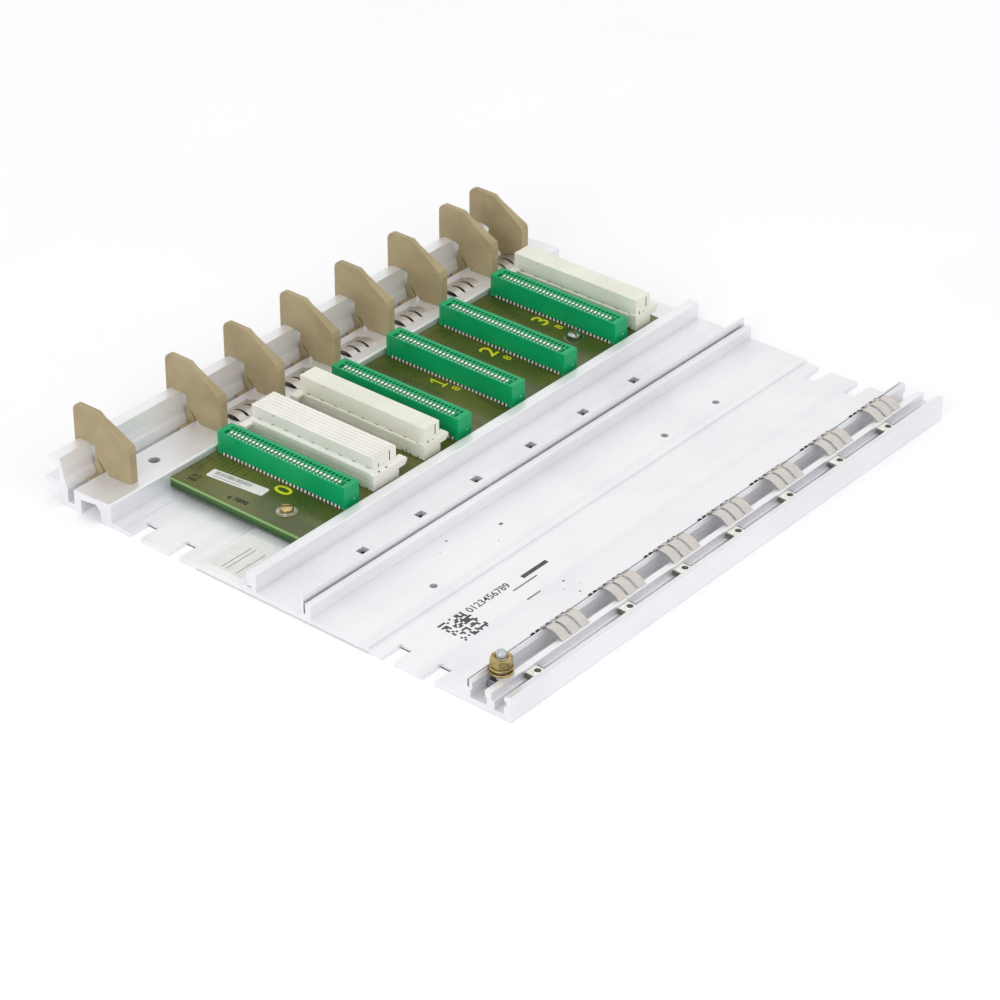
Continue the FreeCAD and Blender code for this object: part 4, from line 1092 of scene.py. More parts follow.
@dataclass
class BackPanel:
    """The extruded panel with its labels and marks."""

    finishes: Finishes
    label_low: Point = (4.0, 172.5)
    label_high: Point = (36.0, 196.5)
    label_rules: tuple[float, ...] = (0.22, 0.5, 0.62)
    rule_margins: Point = (2.0, 9.0)
    rule_width: float = 0.35
    figures_start: Point = (54.5, 70.0)
    figures_height: float = 4.4
    code_low: Point = (35.0, 56.5)
    code_step: float = 1.3
    code_count: int = 14
    code_fill: float = 0.97
    code_share: float = 0.5
    bars: tuple[tuple[float, float, float, float, int], ...] = (
        (94.0, 69.5, 19.0, 2.6, 0), (82.0, 66.0, 18.0, 0.9, 1), (80.5, 56.0, 10.0, 0.9, 1))
    film: float = 0.05
    seed: int = 3

    def build(self) -> None:
        """Dress the panel and lay its marks."""
        dress(["back_panel"], self.finishes.aluminium)
        self.plate_label()
        self.printed_code()
        self.figures()

    def plate_label(self) -> None:
        """A plain label by the board, with ruled lines."""
        low, high = station(*self.label_low), station(*self.label_high)
        level = surface_level("back_panel", (low[0] + high[0]) / 2, (low[1] + high[1]) / 2)
        form = Form()
        form.block((*low, level), (*high, level + self.film), 0)
        left, right = self.rule_margins
        for share in self.label_rules:
            y = low[1] + (high[1] - low[1]) * share
            form.block((low[0] + left, y, level + self.film),
                       (high[0] - right, y + self.rule_width, level + self.film * 1.6), 1)
        form.piece("plate_label", [self.finishes.paper, self.finishes.ink], "aluminium")

    def printed_code(self) -> None:
        """A printed field of plain squares."""
        x0, y0 = station(*self.code_low)
        level = surface_level("back_panel", x0, y0)
        chance = random.Random(self.seed)
        form = Form()
        size = self.code_step
        for column in range(self.code_count):
            for row in range(self.code_count):
                if chance.random() < self.code_share:
                    x, y = x0 + column * size, y0 + row * size
                    form.block((x, y, level),
                               (x + size * self.code_fill, y + size * self.code_fill, level + self.film))
        form.piece("printed_field", [self.finishes.ink], "aluminium")

    def figures(self) -> None:
        """Plain figures and bars on the lower plate."""
        x, y = station(*self.figures_start)
        level = surface_level("back_panel", x, y)
        lay_text("0123456789", "plate_figures", (x, y, level), self.figures_height, self.finishes.ink,
                 self.film, centred=False)
        form = Form()
        for along, across, length, width, finish in self.bars:
            x, y = station(along, across)
            form.block((x, y, level), (x + length, y + width, level + self.film), finish)
        form.piece("plate_bars", [self.finishes.ink, self.finishes.faint_ink], "aluminium")


def lay_text(words: str, name: str, place: Sequence[float], height: float, material: bpy.types.Material,
             thickness: float, centred: bool = True, turn: float = 0.0,
             weight: float = 0.012) -> bpy.types.Object:
    """Lay plain figures flat on a surface.

    Args:
        words: The figures.
        name: The piece's name.
        place: Their middle or their lower left corner, in millimetres.
        height: Their height.
        material: Their finish.
        thickness: How far they stand up.
        centred: Whether place is their middle.
        turn: Their turn about the vertical, in degrees.
        weight: How much their strokes grow, as a share of the height.

    Returns:
        The piece.
    """
    cap_share = 0.72
    curve = bpy.data.curves.new(name, "FONT")
    curve.body = words
    curve.size = height / cap_share * MM
    curve.extrude = thickness / 2 * MM
    curve.offset = height * weight * MM
    curve.align_x = "CENTER" if centred else "LEFT"
    curve.align_y = "CENTER" if centred else "BOTTOM_BASELINE"
    shape = bpy.data.objects.new(name + "_curve", curve)
    bpy.context.scene.collection.objects.link(shape)
    graph = bpy.context.evaluated_depsgraph_get()
    data = bpy.data.meshes.new_from_object(shape.evaluated_get(graph))
    bpy.data.objects.remove(shape)
    turned = Matrix.Rotation(math.radians(turn), 4, "Z")
    middle = (place[0] * MM, place[1] * MM, (place[2] + thickness / 2) * MM)
    data.transform(Matrix.Translation(middle) @ turned)
    data.materials.clear()
    data.materials.append(material)
    piece = bpy.data.objects.new(name, data)
    bpy.context.scene.collection.objects.link(piece)
    return settle(piece)


@dataclass(frozen=True)
class Stamp:
    """Plain figures stamped on the board, by their middle and height."""

    figures: str
    x: float
    y: float
    height: float


@dataclass
class BackplaneBoard:
    """The board with its tracks, figures and label."""

    finishes: Finishes
    figure_places: tuple[Point, ...] = ((69.3, 204.5), (200.3, 215.4), (242.3, 215.4), (286.1, 215.4))
    figure_height: float = 10.5
    stroke: float = 1.15
    small_figure: str = "8"
    small_offset: Point = (1.1, -11.6)
    small_height: float = 5.0
    stamps: tuple[Stamp, ...] = (
        Stamp("012", 51.2, 247.5, 2.7), Stamp("345", 47.4, 247.5, 2.7), Stamp("6 7890", 47.6, 216.0, 3.2))
    stamp_weight: float = 0.03
    lean: float = -84.5
    label_corner: Point = (54.6, 245.0)
    label_length: float = 35.5
    label_width: float = 7.4
    label_round: float = 1.3
    track_width: float = 0.4
    track_rows: int = 9
    track_band: float = 26.0
    track_margin: float = 6.0
    track_shortest: float = 12.0
    track_gap: float = 14.0
    pad_radius: float = 5.4
    pad_hole: float = 2.3
    film: float = 0.06
    seed: int = 7

    def build(self) -> None:
        """Dress the board and its sheet, and lay what is on them."""
        dress(["backplane_board"], self.finishes.board)
        dress(["board_backing_sheet"], self.finishes.sheet)
        _, self.high = node_box("backplane_board")
        for number, spot in enumerate(self.figure_places):
            place = (*station(*spot), self.high.z)
            if number > 0:
                beside = (place[0] + self.small_offset[0], place[1] + self.small_offset[1], place[2])
                lay_text(self.small_figure, "small_figure_%d" % number, beside, self.small_height,
                         self.finishes.paint, self.film)
            if number == 1:
                self.figure_one(place)
                continue
            lay_text(str(number), "slot_figure_%d" % number, place, self.figure_height,
                     self.finishes.paint, self.film)
        for number, stamp in enumerate(self.stamps, 1):
            place = (*station(stamp.x, stamp.y), self.high.z)
            lay_text(stamp.figures, "inked_figures_%d" % number, place, stamp.height, self.finishes.dark,
                     self.film, turn=self.lean, weight=self.stamp_weight)
        self.tracks()
        self.label()

    def figure_one(self, place: Sequence[float]) -> None:
        """Draw the figure 1 with its flag and its foot.

        Args:
            place: Its middle.
        """
        half, stroke, flag, foot = self.figure_height / 2, self.stroke / 2, 2.9, 2.2
        outline = [(-foot, -half), (foot, -half), (foot, -half + 2 * stroke), (stroke, -half + 2 * stroke),
                   (stroke, half), (-stroke, half), (-flag, half - flag),
                   (-flag + stroke, half - flag - stroke),
                   (-stroke, half - 2.6 * stroke), (-stroke, -half + 2 * stroke), (-foot, -half + 2 * stroke)]
        form = Form()
        form.prism([(place[0] + x, place[1] + y) for x, y in outline], Axis.Z, place[2], place[2] + self.film)
        form.piece("slot_figure_1", [self.finishes.paint], "board")

    def tracks(self) -> None:
        """Tracks under the lacquer that fan out from the far edge, and the screws' tinned pads."""
        chance = random.Random(self.seed)
        low, high = node_box("backplane_board")
        form = Form()
        pitch = self.track_band / self.track_rows
        half = self.track_width / 2
        for row in range(self.track_rows):
            y = high.y - 4.0 - pitch * row
            start = low.x + self.track_margin + chance.random() * 30.0
            while start < high.x - 20.0:
                end = min(start + self.track_shortest + chance.random() * 34.0, high.x - self.track_margin)
                drop = pitch * (1 + chance.randrange(3))
                form.block((start, y - half, high.z), (end, y + half, high.z + self.film * 0.4))
                form.block((end - half, y - drop, high.z), (end + half, y + half, high.z + self.film * 0.4))
                start = end + self.track_gap + chance.random() * 40.0
        screws_low, screws_high = node_box("board_washers")
        reach = (screws_high.y - screws_low.y) / 2
        middle = (screws_low.y + screws_high.y) / 2
        for x in (screws_low.x + reach, screws_high.x - reach):
            ring = [(self.pad_hole, high.z), (self.pad_radius, high.z), (self.pad_radius, high.z + self.film),
                    (self.pad_hole, high.z + self.film)]
            form.lathe(ring, (x, middle), 1, 48, closed=True)
        form.piece("board_tracks", [self.finishes.track, self.finishes.tin], "board")

    def label(self) -> None:
        """A paper label with plain bars and rounded corners."""
        corner = station(*self.label_corner)
        length, width, round_off = self.label_length, self.label_width, self.label_round
        form = Form()
        outline = []
        for x, y, first in ((length, 0.0, -90), (length, width, 0), (0.0, width, 90), (0.0, 0.0, 180)):
            centre = (x + (round_off if x == 0 else -round_off), y + (round_off if y == 0 else -round_off))
            for step in range(5):
                angle = math.radians(first + 22.5 * step)
                outline.append((centre[0] + round_off * math.cos(angle),
                                centre[1] + round_off * math.sin(angle)))
        form.prism(outline, Axis.Z, 0.0, self.film)
        chance = random.Random(self.seed)
        x = 3.0
        while x < length * 0.72:
            bar = 0.25 + 0.45 * chance.random()
            form.block((x, 3.4, self.film), (x + bar, width - 1.0, self.film * 1.5), 1)
            x += bar + 0.3 + 0.4 * chance.random()
        form.block((3.0, 1.5, self.film), (length * 0.6, 1.9, self.film * 1.5), 1)
        turn = Matrix.Rotation(math.radians(self.lean), 4, "Z")
        matrix = Matrix.Translation((*corner, self.high.z)) @ turn
        bmesh.ops.transform(form.mesh, matrix=matrix, verts=form.mesh.verts)
        form.piece("board_label", [self.finishes.paper, self.finishes.faint_ink], "board")


@dataclass
class GreenSockets:
    """The two-row sockets with their contacts and solder tails."""

    finishes: Finishes
    count: int = 5
    pitch: float = 2.54
    contacts: int = 32
    end: float = 2.86
    wall: float = 0.8
    slot_width: float = 1.3
    divider: float = 0.3
    bead_width: float = 2.9
    rib: float = 0.9
    cell_width: float = 2.5
    cell_length: float = 1.7
    depth: float = 5.0
    side_depth: float = 3.2
    bridge_depth: float = 0.6
    relief: float = 1.5
    foot: float = 0.5
    recess: float = 0.9
    tail_inset: float = 0.4
    seam: float = 0.22
    proud: float = 0.03

    def build(self) -> None:
        """Build every socket."""
        for number in range(1, self.count + 1):
            low, high = node_box("green_socket_%d" % number)
            self.housing(number, low, high)
            self.contact_row(number, low, high)
            self.tails(number, low, high)

    def columns(self, low: Vector) -> list[float]:
        """Give the lines between the socket's rows of openings.

        Args:
            low: The housing's lowest corner.

        Returns:
            Lines across the socket, from its near side.
        """
        steps = (self.wall, self.slot_width, self.divider, self.bead_width, self.rib, self.cell_width)
        lines = [low.x]
        for step in steps:
            lines.append(lines[-1] + step)
        return lines

    def housing(self, number: int, low: Vector, high: Vector) -> None:
        """Build one housing with its openings and the relief along its foot, whose inner block is painted
        dark as shade behind the tails.

        Args:
            number: Which socket.
            low: The housing's lowest corner.
            high: Its highest corner.
        """
        lines_x = self.columns(low) + [high.x]
        lines_y = [low.y]
        gap = (self.pitch - self.cell_length) / 2
        for index in range(self.contacts):
            start = low.y + self.end + self.pitch * index
            lines_y += [start + gap, start + self.pitch - gap]
        lines_y.append(high.y)

        def depth_at(column: int, row: int) -> float:
            """Openings in the odd rows, in three of the columns."""
            if row % 2 == 0:
                return self.bridge_depth if column in (1, 3) and 0 < row < 2 * self.contacts else 0.0
            depths = {1: self.side_depth, 2: self.bridge_depth, 3: self.depth, 5: self.depth}
            return depths.get(column, 0.0)

        form = Form()
        waist = low.z + self.relief
        form.pocketed(lines_x, lines_y, depth_at, high.z, waist)
        # The inner block of the relief is painted dark as shade behind the solder tails.
        form.block((low.x + self.recess, low.y + self.end, low.z),
                   (high.x - self.recess, high.y - self.end, waist), 1)
        for start in (low.y, high.y - self.end):
            form.block((low.x, start, low.z + self.foot), (high.x, start + self.end, waist))
            form.block((low.x, start + 0.4, low.z), (low.x + 2.6, start + self.end, low.z + self.foot))
            form.block((high.x - 4.2, start, low.z), (high.x, start + self.end, low.z + self.foot))
        form.piece("socket_housing_%d" % number, [self.finishes.green, self.finishes.dark], "green_plastic",
                   ["green_socket_%d" % number], edge=0.12, segments=1)
        self.marks(number, low, high)

    def marks(self, number: int, low: Vector, high: Vector) -> None:
        """Lay the seams of the end blocks and the small moulding marks.

        Args:
            number: Which socket.
            low: The housing's lowest corner.
            high: Its highest corner.
        """
        proud = self.proud
        form = Form()
        for y, top in ((high.y - self.end - 0.4, high.z - 1.2), (low.y + self.end, low.z + 5.0)):
            form.block((low.x - proud, y, low.z + self.relief), (low.x + 0.2, y + self.seam, top))
        form.block((low.x - proud, high.y - 15.0, high.z - 1.9), (low.x + 0.2, high.y - 12.4, high.z - 1.7))
        form.block((low.x - proud, high.y - 15.0, high.z - 2.9), (low.x + 0.2, high.y - 14.8, high.z - 1.7))
        form.block((low.x + 4.6, low.y - proud, low.z), (low.x + 7.4, low.y + 0.2, low.z + 0.5))
        form.block((low.x + 6.6, low.y - proud, low.z + 3.6), (low.x + 7.2, low.y + 0.2, low.z + 4.8), 1)
        form.piece("socket_marks_%d" % number, [self.finishes.seam_green, self.finishes.contact],
                   "green_plastic")

    def contact_row(self, number: int, low: Vector, high: Vector) -> None:
        """Build one row of sprung contacts, each with a bead and a side tine.

        Args:
            number: Which socket.
            low: The housing's lowest corner.
            high: Its highest corner.
        """
        lines = self.columns(low)
        form = Form()
        for index in range(1, self.contacts - 1):
            y = low.y + self.end + self.pitch * (index + 0.5)
            middle = (lines[3] + lines[4]) / 2
            form.pearl((middle, y, high.z - 0.3), (self.bead_width * 0.44, 0.72, 0.55))
            form.block((middle - 0.9, y - 0.5, high.z - self.depth), (middle + 0.9, y + 0.5, high.z - 0.4))
            tine = (lines[1] + lines[2]) / 2
            form.block((tine - 0.42, y - 0.55, high.z - 3.1), (tine + 0.42, y + 0.4, high.z - 0.15),
                       taper=0.1)
        form.piece("socket_contacts_%d" % number, [self.finishes.contact], "contact_metal",
                   ["green_contacts_%d" % number])

    def tails(self, number: int, low: Vector, high: Vector) -> None:
        """Build the solder tails along both sides of a socket's foot.

        Args:
            number: Which socket.
            low: The housing's lowest corner.
            high: Its highest corner.
        """
        form = Form()
        for index in range(self.contacts):
            y = low.y + self.end + self.pitch * (index + 0.5)
            for x in (low.x + self.tail_inset, high.x - self.tail_inset):
                form.block((x - 0.5, y - 0.55, low.z), (x + 0.5, y + 0.55, low.z + self.relief), taper=0.22)
        form.piece("solder_tails_%d" % number, [self.finishes.solder], "contact_metal")


@dataclass
class CreamSocket:
    """A cream socket with its stepped base, ears, seam and top openings."""

    number: int
    plastic: bpy.types.Material
    shadow: bpy.types.Material
    base: float
    inset: float
    setback: float
    slope: float
    ribs: int = 0
    rows: int = 0
    ear: float = 6.2
    ear_depth: float = 4.6
    ear_level: float = 4.8
    far_ear: float = 1.5
    tier: float = 9.0
    pitch: float = 2.54
    cell: float = 0.32
    groove: float = 0.3
    foot: float = 1.1
    foot_gap: float = 1.1
    proud: float = 0.05
    dashes: int = 9

    def build(self) -> None:
        """Build the socket in place of its solid."""
        low, high = node_box("cream_socket_%d" % self.number)
        self.x0, self.x1 = low.x + self.ear, high.x - self.ear
        self.y0, self.y1 = low.y, high.y
        self.z0, self.z1 = low.z, high.z
        body = Form()
        self.base_body(body)
        self.end_bars(body)
        self.top(body)
        body.piece("cream_housing_%d" % self.number, [self.plastic], "cream_plastic",
                   ["cream_socket_%d" % self.number], edge=0.16)
        self.openings()

    def base_body(self, body: Form) -> None:
        """Build the base on its feet, with the sloped shoulder under the seam.

        Args:
            body: The form that takes it.
        """
        x0, x1, y0, y1, z0 = self.x0, self.x1, self.y0, self.y1, self.z0
        groove, back = self.groove, self.setback
        joint = z0 + self.base
        shoulder = joint - self.slope
        lower = min(z0 + self.tier - 0.3, shoulder - 0.1)
        body.block((x0, y0, z0 + self.foot), (x1, y1, z0 + 4.3))
        body.block((x0 + groove, y0 + groove, z0 + 0.6), (x1 - groove, y1 - groove, z0 + 4.8))
        body.block((x0, y0 + 0.1, z0 + 4.7), (x1, y1 - 0.1, lower))
        inner = x1 - self.proud
        body.prism([(x0 + self.proud, lower - 0.2), (x0 + self.proud, shoulder), (x0 + self.inset, joint),
                    (inner, joint), (inner, lower - 0.2)], Axis.Y, y0 + back, y1 - back)
        body.block((x0 + self.inset + groove, y0 + back + groove, joint - 0.1),
                   (x1 - groove, y1 - back - groove, joint + 0.4))
        count = int((y1 - y0) / (2 * self.pitch))
        step = (y1 - y0) / count
        for index in range(count):
            y = y0 + step * index
            body.block((x0 + self.proud, y + self.proud, z0),
                       (x1 - self.proud, y + step - self.foot_gap, z0 + self.foot + self.proud))

    def end_bars(self, body: Form) -> None:
        """Lay the bar across each end, reaching out as an ear on opposite sides.

        Args:
            body: The form that takes them.
        """
        low, high = self.z0 + self.ear_level, self.z0 + self.tier
        middle = (low + high) / 2
        tip = self.ear * 0.3
        near_side, far_side = self.x0 - self.proud, self.x1 + self.proud
        reach = self.x1 + self.ear
        near = [(near_side, low), (reach - tip, low), (reach, middle), (reach, high - 0.8),
                (reach - 0.8, high), (near_side, high)]
        body.prism(near, Axis.Y, self.y0 - self.proud, self.y0 + self.ear_depth)
        out = self.x0 - self.ear
        under = high - self.far_ear
        far = [(far_side, low), (far_side, high), (out, high), (out, under), (near_side, under),
               (near_side, low)]
        body.prism(far, Axis.Y, self.y1 - self.ear_depth, self.y1 + self.proud)
        leg = self.y1 - self.ear_depth + self.proud
        body.block((out + self.proud, leg, self.z0), (out + self.far_ear, self.y1, under + 0.1))

    def top(self, body: Form) -> None:
        """Build the upper body with its ribs or its rows of openings.

        Args:
            body: The form that takes it.
        """
        x0, x1 = self.x0 + self.inset, self.x1
        y0, y1 = self.y0 + self.setback, self.y1 - self.setback
        low, high = self.z0 + self.base + 0.25, self.z1
        if self.ribs:
            step = (x1 - x0) / self.ribs
            lines_x = [x0]
            for index in range(self.ribs):
                lines_x += [x0 + step * (index + 0.76), x0 + step * (index + 1)]
            lines_x[-1] = x1
            lines_y = [y0, y0 + 1.2, y0 + 1.7, y1 - 1.0, y1]

            def rib_depth(column: int, row: int) -> float:
                """Grooves between the ribs, deeper in a notch near the end."""
                return (0.0 if column % 2 == 0 else 0.75) + (0.5 if row == 1 else 0.0)

            body.pocketed(lines_x, lines_y, rib_depth, high, low)
            return
        step = (x1 - x0) / self.rows
        lines_x = [x0]
        for index in range(self.rows):
            lines_x += [x0 + step * (index + 0.32), x0 + step * (index + 0.68)]
        lines_x.append(x1)
        count = int((y1 - y0 - 4.0) / self.pitch)
        margin = (y1 - y0 - count * self.pitch) / 2
        lines_y = [y0]
        for index in range(count):
            start = y0 + margin + self.pitch * index
            lines_y += [start + 0.75, start + self.pitch - 0.75]
        lines_y.append(y1)

        def cell_depth(column: int, row: int) -> float:
            """Shallow openings in the odd columns and rows."""
            return self.cell if column % 2 and row % 2 else 0.0

        body.pocketed(lines_x, lines_y, cell_depth, high, low)

    def openings(self) -> None:
        """Lay the dark holes, slots and seam dashes; the holes and slots are painted shade."""
        proud = self.proud
        side = self.x0 + self.inset
        joint = self.z0 + self.base
        width = self.x1 - side
        marks = Form()
        # A dark disc at each of the two holes is painted shade.
        for x, y in ((self.x0 + width * 0.62, self.y0 + 1.0), (self.x0 + width * 0.3, self.y0 + 0.9)):
            hole_shade = [(0.62, self.z0 + self.tier - 0.2), (0.62, self.z0 + self.tier + proud)]
            marks.lathe(hole_shade, (x, y), 0, 20)
        front = self.y0 + self.setback
        slots = ((0.7, self.z0 + self.tier + 2.2, self.z1 - 1.0), (0.22, joint + 0.1, joint + 2.0))
        for share, bottom, top in slots:
            x = side + width * share
            marks.block((x, front - proud, bottom), (x + 0.55, front + 0.2, top))
        step = (self.y1 - self.y0 - 2 * self.setback) / self.dashes
        for index in range(self.dashes):
            y = self.y0 + self.setback + step * (index + 0.3)
            marks.block((side - proud, y, joint + 0.02), (side + 0.2, y + step * 0.22, joint + 0.24))
        marks.block((side - proud, self.y1 - 17.4, self.z1 - 1.6),
                    (side + 0.2, self.y1 - 16.8, self.z1 - 1.0))
        for y in (self.y0 + 12.0, self.y0 + 36.0, self.y1 - 14.0):
            marks.block((self.x0 - proud, y, self.z0), (self.x0 + 0.2, y + 0.5, self.z0 + 2.2))
        marks.piece("cream_openings_%d" % self.number, [self.shadow], "cream_plastic")


def arch_points(start: Point, end: Point, rise: float, steps: int) -> list[Point]:
    """Give points on a crowned line.

    Args:
        start: Its first point.
        end: Its last point.
        rise: Its height over the straight line, at the middle.
        steps: Stretches along it.

    Returns:
        The points, with both ends.
    """
    points = []
    for index in range(steps + 1):
        share = index / steps
        crown = 4 * share * (1 - share) * rise
        level = start[1] + (end[1] - start[1]) * share + crown
        points.append((start[0] + (end[0] - start[0]) * share, level))
    return points


@dataclass
class ContactSprings:
    """The arched springs over the tee slot and over the windows in the platform."""

    finishes: Finishes
    lower_count: int = 7
    upper_count: int = 6
    thick: float = 0.4
    gap: float = 1.6
    fingers: int = 3
    tabs: int = 4
    tab: float = 2.7
    window: float = 1.2
    window_length: float = 2.6
    window_pitch: float = 3.7
    window_reach: float = 7.0
    lower_rise: float = 2.5
    upper_rise: float = 2.1
    shoulder: float = 2.5
    band: float = 2.6
    fall: float = 1.4 / 26.1
    steps: int = 14

    def build(self) -> None:
        """Build every spring in place of its solid."""
        land = node_box("earth_washer_lower")[0].z
        for number in range(1, self.lower_count + 1):
            self.lower(number, land)
        for number in range(1, self.upper_count + 1):
            self.upper(number)
        self.windows()

    def finger_spans(self, low: float, high: float) -> list[Point]:
        """Give the near and far side of each finger.

        Args:
            low: The spring's near side.
            high: The spring's far side.

        Returns:
            The sides of every finger.
        """
        width = (high - low - self.gap * (self.fingers - 1)) / self.fingers
        return [(low + (width + self.gap) * index, low + (width + self.gap) * index + width)
                for index in range(self.fingers)]

    def lower(self, number: int, land: float) -> None:
        """Build a spring that hooks into the slit of the lower rail.

        Args:
            number: Which spring.
            land: Level of the land that its toe rests on.
        """
        name = "lower_spring_%d" % number
        low, high = node_box(name)
        heel = (high.y, land + self.shoulder)
        toe = (low.y, land)
        outer = arch_points(heel, toe, self.lower_rise, self.steps)
        inner = arch_points((low.y + self.thick, land), (high.y - self.thick, heel[1] - self.thick),
                            self.lower_rise - self.thick / 2, self.steps)
        form = Form()
        for near, far in self.finger_spans(low.x, high.x):
            form.prism(outer[1:] + inner[:-1], Axis.X, near, far)
            form.prism([(low.y - 0.1, land), (low.y + 0.5, land), (low.y + 0.9, land + 0.5),
                        (low.y + 0.5, land + 0.6)], Axis.X, near + 0.5, far - 0.5)
        form.prism(outer[1:4] + inner[-4:-1], Axis.X, low.x, high.x)
        step = (high.x - low.x - self.tab) / (self.tabs - 1)
        for index in range(self.tabs):
            near = low.x + step * index
            form.prism([outer[0], outer[1], inner[-2], inner[-1]], Axis.X, near, near + self.tab)
            form.prism([(high.y, low.z), heel, (high.y - self.thick, heel[1] - self.thick),
                        (high.y - self.thick, low.z)], Axis.X, near, near + self.tab)
        form.piece("sprung_contact_low_%d" % number, [self.finishes.spring], "spring_steel", [name],
                   edge=0.08, segments=1, angle=50.0)

    def windows(self) -> None:
        """Lay dark blocks of painted shade in the windows in the shoulder behind every lower spring."""
        form = Form()
        for number in range(1, self.lower_count + 1):
            low, high = node_box("lower_spring_%d" % number)
            near = low.x - self.window_reach
            level = surface_level("back_panel", near, high.y + self.window * 0.7)
            while near + self.window_length < high.x:
                form.block((near, high.y + 0.05, level - 0.4),
                           (near + self.window_length, high.y + self.window, level + 0.06))
                near += self.window_pitch
        form.piece("spring_windows", [self.finishes.dark], "aluminium")

    def upper(self, number: int) -> None:
        """Build a spring that lies on the platform.

        Args:
            number: Which spring.
        """
        name = "upper_spring_%d" % number
        low, high = node_box(name)
        slope = self.fall * (high.y - low.y)
        toe = (low.y, low.z + slope)
        heel = (high.y - self.band, low.z + self.fall * self.band)
        outer = arch_points((heel[0], heel[1] + self.thick), toe, self.upper_rise, self.steps)
        inner = arch_points((toe[0] + self.thick, toe[1]), heel, self.upper_rise - self.thick / 2, self.steps)
        form = Form()
        for near, far in self.finger_spans(low.x, high.x):
            form.prism(outer + inner, Axis.X, near, far)
        form.prism([outer[0], outer[1], inner[-2], inner[-1]], Axis.X, low.x, high.x)
        form.prism([heel, (high.y, low.z), (high.y, low.z + self.thick), (heel[0], heel[1] + self.thick)],
                   Axis.X, low.x, high.x)
        form.piece("sprung_contact_top_%d" % number, [self.finishes.spring], "spring_steel", [name],
                   edge=0.08, segments=1, angle=50.0)


@dataclass
class NutInserts:
    """The threaded inserts in the lower rail's groove."""

    finishes: Finishes
    length: float = 9.4
    plate: float = 2.8
    pitch: float = 43.24
    count: int = 7
    thread: float = 3.3
    boss: float = 5.4
    shadow: float = 0.9
    thread_depth: float = 0.28
    thread_pitch: float = 0.7

    def build(self) -> None:
        """Build every insert in place of the group of solids."""
        low, high = node_box("nut_inserts")
        form = Form()
        centres = [low.x + self.length / 2]
        centres += [high.x - self.length / 2 - self.pitch * index for index in range(self.count - 1)]
        middle = (low.y + high.y) / 2
        bores = []
        for x in centres:
            half = self.length / 2
            form.block((x - half + self.shadow, low.y, low.z),
                       (x + half - self.shadow, high.y, low.z + self.plate), 1)
            # The darker blocks at both ends of each insert are painted shade.
            for side in (-1, 1):
                near, far = sorted((x + side * half, x + side * (half - self.shadow)))
                form.block((near, low.y + 0.5, low.z), (far, high.y - 0.5, low.z + self.plate - 0.2))
            ring = [(self.boss / 2, low.z + self.plate - 0.1), (self.boss / 2, high.z - 0.3),
                    (self.boss / 2 - 0.3, high.z)]
            form.lathe(ring, (x, middle), 1, 6)
            bore = Form()
            turns = []
            level = low.z - 0.5
            while level < high.z + 0.5:
                turns += [(self.thread / 2, level),
                          (self.thread / 2 + self.thread_depth, level + self.thread_pitch / 2)]
                level += self.thread_pitch
            bore.lathe(turns, (x, middle), 0, 32)
            bores.append(bore)
        form.piece("threaded_inserts", [self.finishes.insert, self.finishes.contact], "zinc_steel",
                   ["nut_inserts"], edge=0.2, cutters=bores)


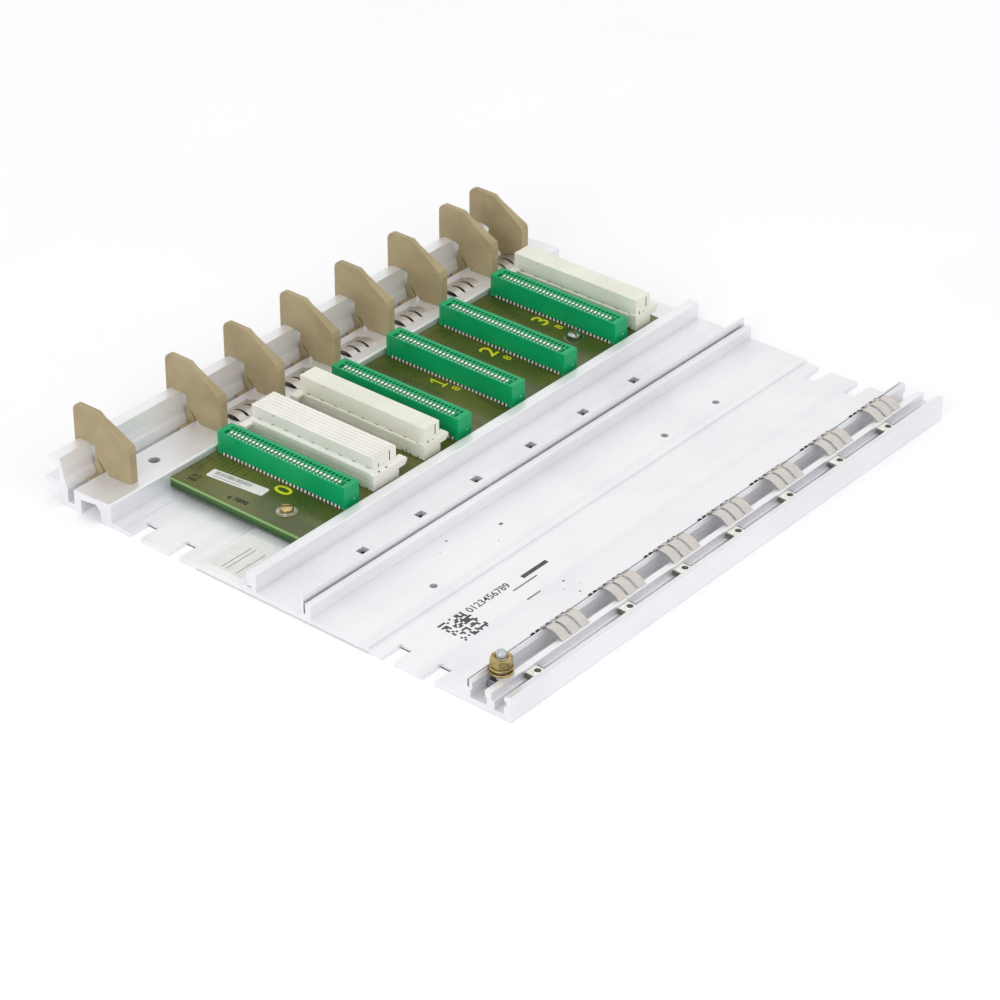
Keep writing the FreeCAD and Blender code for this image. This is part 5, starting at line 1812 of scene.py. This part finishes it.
@dataclass
class EarthTerminal:
    """The earth stud with its nut and washers."""

    finishes: Finishes
    head: float = 3.6
    thread_pitch: float = 1.0
    chamfer: float = 0.7
    rounded_end: float = 1.6
    crest: float = 3.0
    root: float = 2.62
    nut_turn: float = 24.0
    nut_bore: float = 3.1
    washer_bore: float = 3.15
    washer_ease: float = 0.22

    def build(self) -> None:
        """Build the stud, the nut and the three washers in place of their solids."""
        self.stud()
        self.nut()
        for name, material, slot in (
            ("earth_washer_lower", self.finishes.yellow, "yellow_zinc"),
            ("earth_washer_upper", self.finishes.yellow, "yellow_zinc"),
            ("earth_spring_washer", self.finishes.insert, "zinc_steel"),
        ):
            self.washer(name, material, slot)

    def stud(self) -> None:
        """Build the threaded stud with its square head."""
        low, high = node_box("earth_stud")
        x, y = (low.x + high.x) / 2, (low.y + high.y) / 2
        form = Form()
        form.block((low.x, low.y, low.z), (high.x, high.y, low.z + self.head))
        crest, root = self.crest, self.root
        profile = [(root, low.z + self.head - 0.1)]
        level = low.z + self.head
        while level < high.z - self.thread_pitch - self.chamfer:
            profile += [(root, level), (crest, level + 0.4), (crest, level + 0.55), (root, level + 0.95)]
            level += self.thread_pitch
        top = high.z + self.rounded_end
        profile += [(root, level + 0.1), (root, top - 1.1), (root - 0.25, top - 0.55),
                    (root - 0.75, top - 0.15), (root - 1.5, top)]
        form.lathe(profile, (x, y))
        form.piece("threaded_stud", [self.finishes.zinc], "zinc_steel", ["earth_stud"])

    def nut(self) -> None:
        """Build the hexagon nut with chamfered corners."""
        low, high = node_box("earth_nut")
        x, y = (low.x + high.x) / 2, (low.y + high.y) / 2
        apothem = (high.y - low.y) / 2
        bore = self.nut_bore
        slope = math.tan(math.radians(40))
        turn = math.radians(self.nut_turn)

        def corner(number: int, angle: float) -> Point:
            """Radius and level of a ring's corner on the nut."""
            sector = ((angle - turn) % (math.pi / 3)) - math.pi / 6
            reach = apothem / math.cos(sector)
            drop = max(0.0, reach - apothem * 0.96) * slope
            return [
                (bore + 0.3, low.z), (apothem * 0.95, low.z), (reach, low.z + drop * 0.6),
                (reach, high.z - drop), (apothem * 0.94, high.z), (bore + 0.35, high.z),
                (bore, high.z - 0.4), (bore, low.z + 0.4),
            ][number]

        form = Form()
        form.lathe([(0.0, 0.0)] * 8, (x, y), 0, 72, closed=True, spin=corner)
        form.piece("hexagon_nut", [self.finishes.yellow], "yellow_zinc", ["earth_nut"], angle=25.0)

    def washer(self, name: str, material: bpy.types.Material, slot: str) -> None:
        """Build a washer with eased edges, split if it is the spring washer.

        Args:
            name: The solid that it stands for.
            material: Its finish.
            slot: The record's material slot.
        """
        low, high = node_box(name)
        x, y = (low.x + high.x) / 2, (low.y + high.y) / 2
        outer, inner, ease = (high.y - low.y) / 2, self.washer_bore, self.washer_ease
        profile = [(inner, low.z), (outer - ease, low.z), (outer, low.z + ease), (outer, high.z - ease),
                   (outer - ease, high.z), (inner, high.z)]
        form = Form()
        form.lathe(profile, (x, y), 0, 64, closed=True)
        cutters = []
        if "spring" in name:
            gap = Form()
            gap.block((x, y - 0.5, low.z - 1), (x + outer + 1, y + 0.5, high.z + 1))
            cutters.append(gap)
        form.piece("ring_" + name, [material], slot, [name], cutters=cutters)


@dataclass
class BoardFixings:
    """The slotted screws of the board with their washers and spacers."""

    finishes: Finishes
    slot_width: float = 1.1
    slot_depth: float = 1.3
    washer_bore: float = 2.2
    slot_angles: tuple[float, ...] = (-46.0, 58.0)
    head_radius: float = 3.7
    shank: float = 2.0

    def build(self) -> None:
        """Build the screws and washers in place of their groups of solids."""
        dress(["board_spacers"], self.finishes.zinc)
        low, high = node_box("board_screws")
        y = (low.y + high.y) / 2
        xs = (low.x + self.head_radius, high.x - self.head_radius)
        ring_low, ring_high = node_box("board_washers")
        screws, washers, cutters = Form(), Form(), []
        for number, (x, turn) in enumerate(zip(xs, self.slot_angles)):
            base = ring_high.z
            head = self.head_radius
            profile = [(self.shank, low.z), (self.shank, base), (head - 0.1, base), (head, base + 0.25),
                       (head, base + 1.3), (head - 0.3, base + 1.75), (head - 1.0, high.z - 0.1),
                       (head - 2.4, high.z + 0.05)]
            screws.lathe(profile, (x, y), number)
            cutter = Form()
            cutter.block((-head - 1, -self.slot_width / 2, high.z - self.slot_depth),
                         (head + 1, self.slot_width / 2, high.z + 1))
            matrix = Matrix.Translation((x, y, 0)) @ Matrix.Rotation(math.radians(turn), 4, "Z")
            bmesh.ops.transform(cutter.mesh, matrix=matrix, verts=cutter.mesh.verts)
            cutters.append(cutter)
            outer = (ring_high.y - ring_low.y) / 2
            ring = [(self.washer_bore, ring_low.z), (outer - 0.2, ring_low.z), (outer, ring_low.z + 0.2),
                    (outer, ring_high.z - 0.2), (outer - 0.2, ring_high.z), (self.washer_bore, ring_high.z)]
            washers.lathe(ring, (x, y), number, 56, closed=True)
        screws.piece("slotted_screws", [self.finishes.yellow, self.finishes.zinc], "zinc_steel",
                     ["board_screws"], cutters=cutters)
        washers.piece("screw_washers", [self.finishes.zinc, self.finishes.sheet], "zinc_steel",
                      ["board_washers"])


def main() -> None:
    """Build the studio and every sub-assembly."""
    logging.basicConfig(level=logging.INFO, format="%(message)s")
    Studio().build()
    finishes = Finishes()
    BackPanel(finishes).build()
    BackplaneBoard(finishes).build()
    GreenSockets(finishes).build()
    CreamSocket(1, finishes.cream, finishes.dark, base=11.2, inset=1.9, setback=1.9, slope=1.5,
                ribs=7).build()
    for number in (2, 3):
        CreamSocket(number, finishes.grey_cream, finishes.dark, base=8.4, inset=0.8, setback=0.8, slope=0.6,
                    rows=4).build()
    ContactSprings(finishes).build()
    dress(["guide_%d" % number for number in range(1, 9)], finishes.tan)
    NutInserts(finishes).build()
    EarthTerminal(finishes).build()
    BoardFixings(finishes).build()


if __name__ == "__main__":
    main()
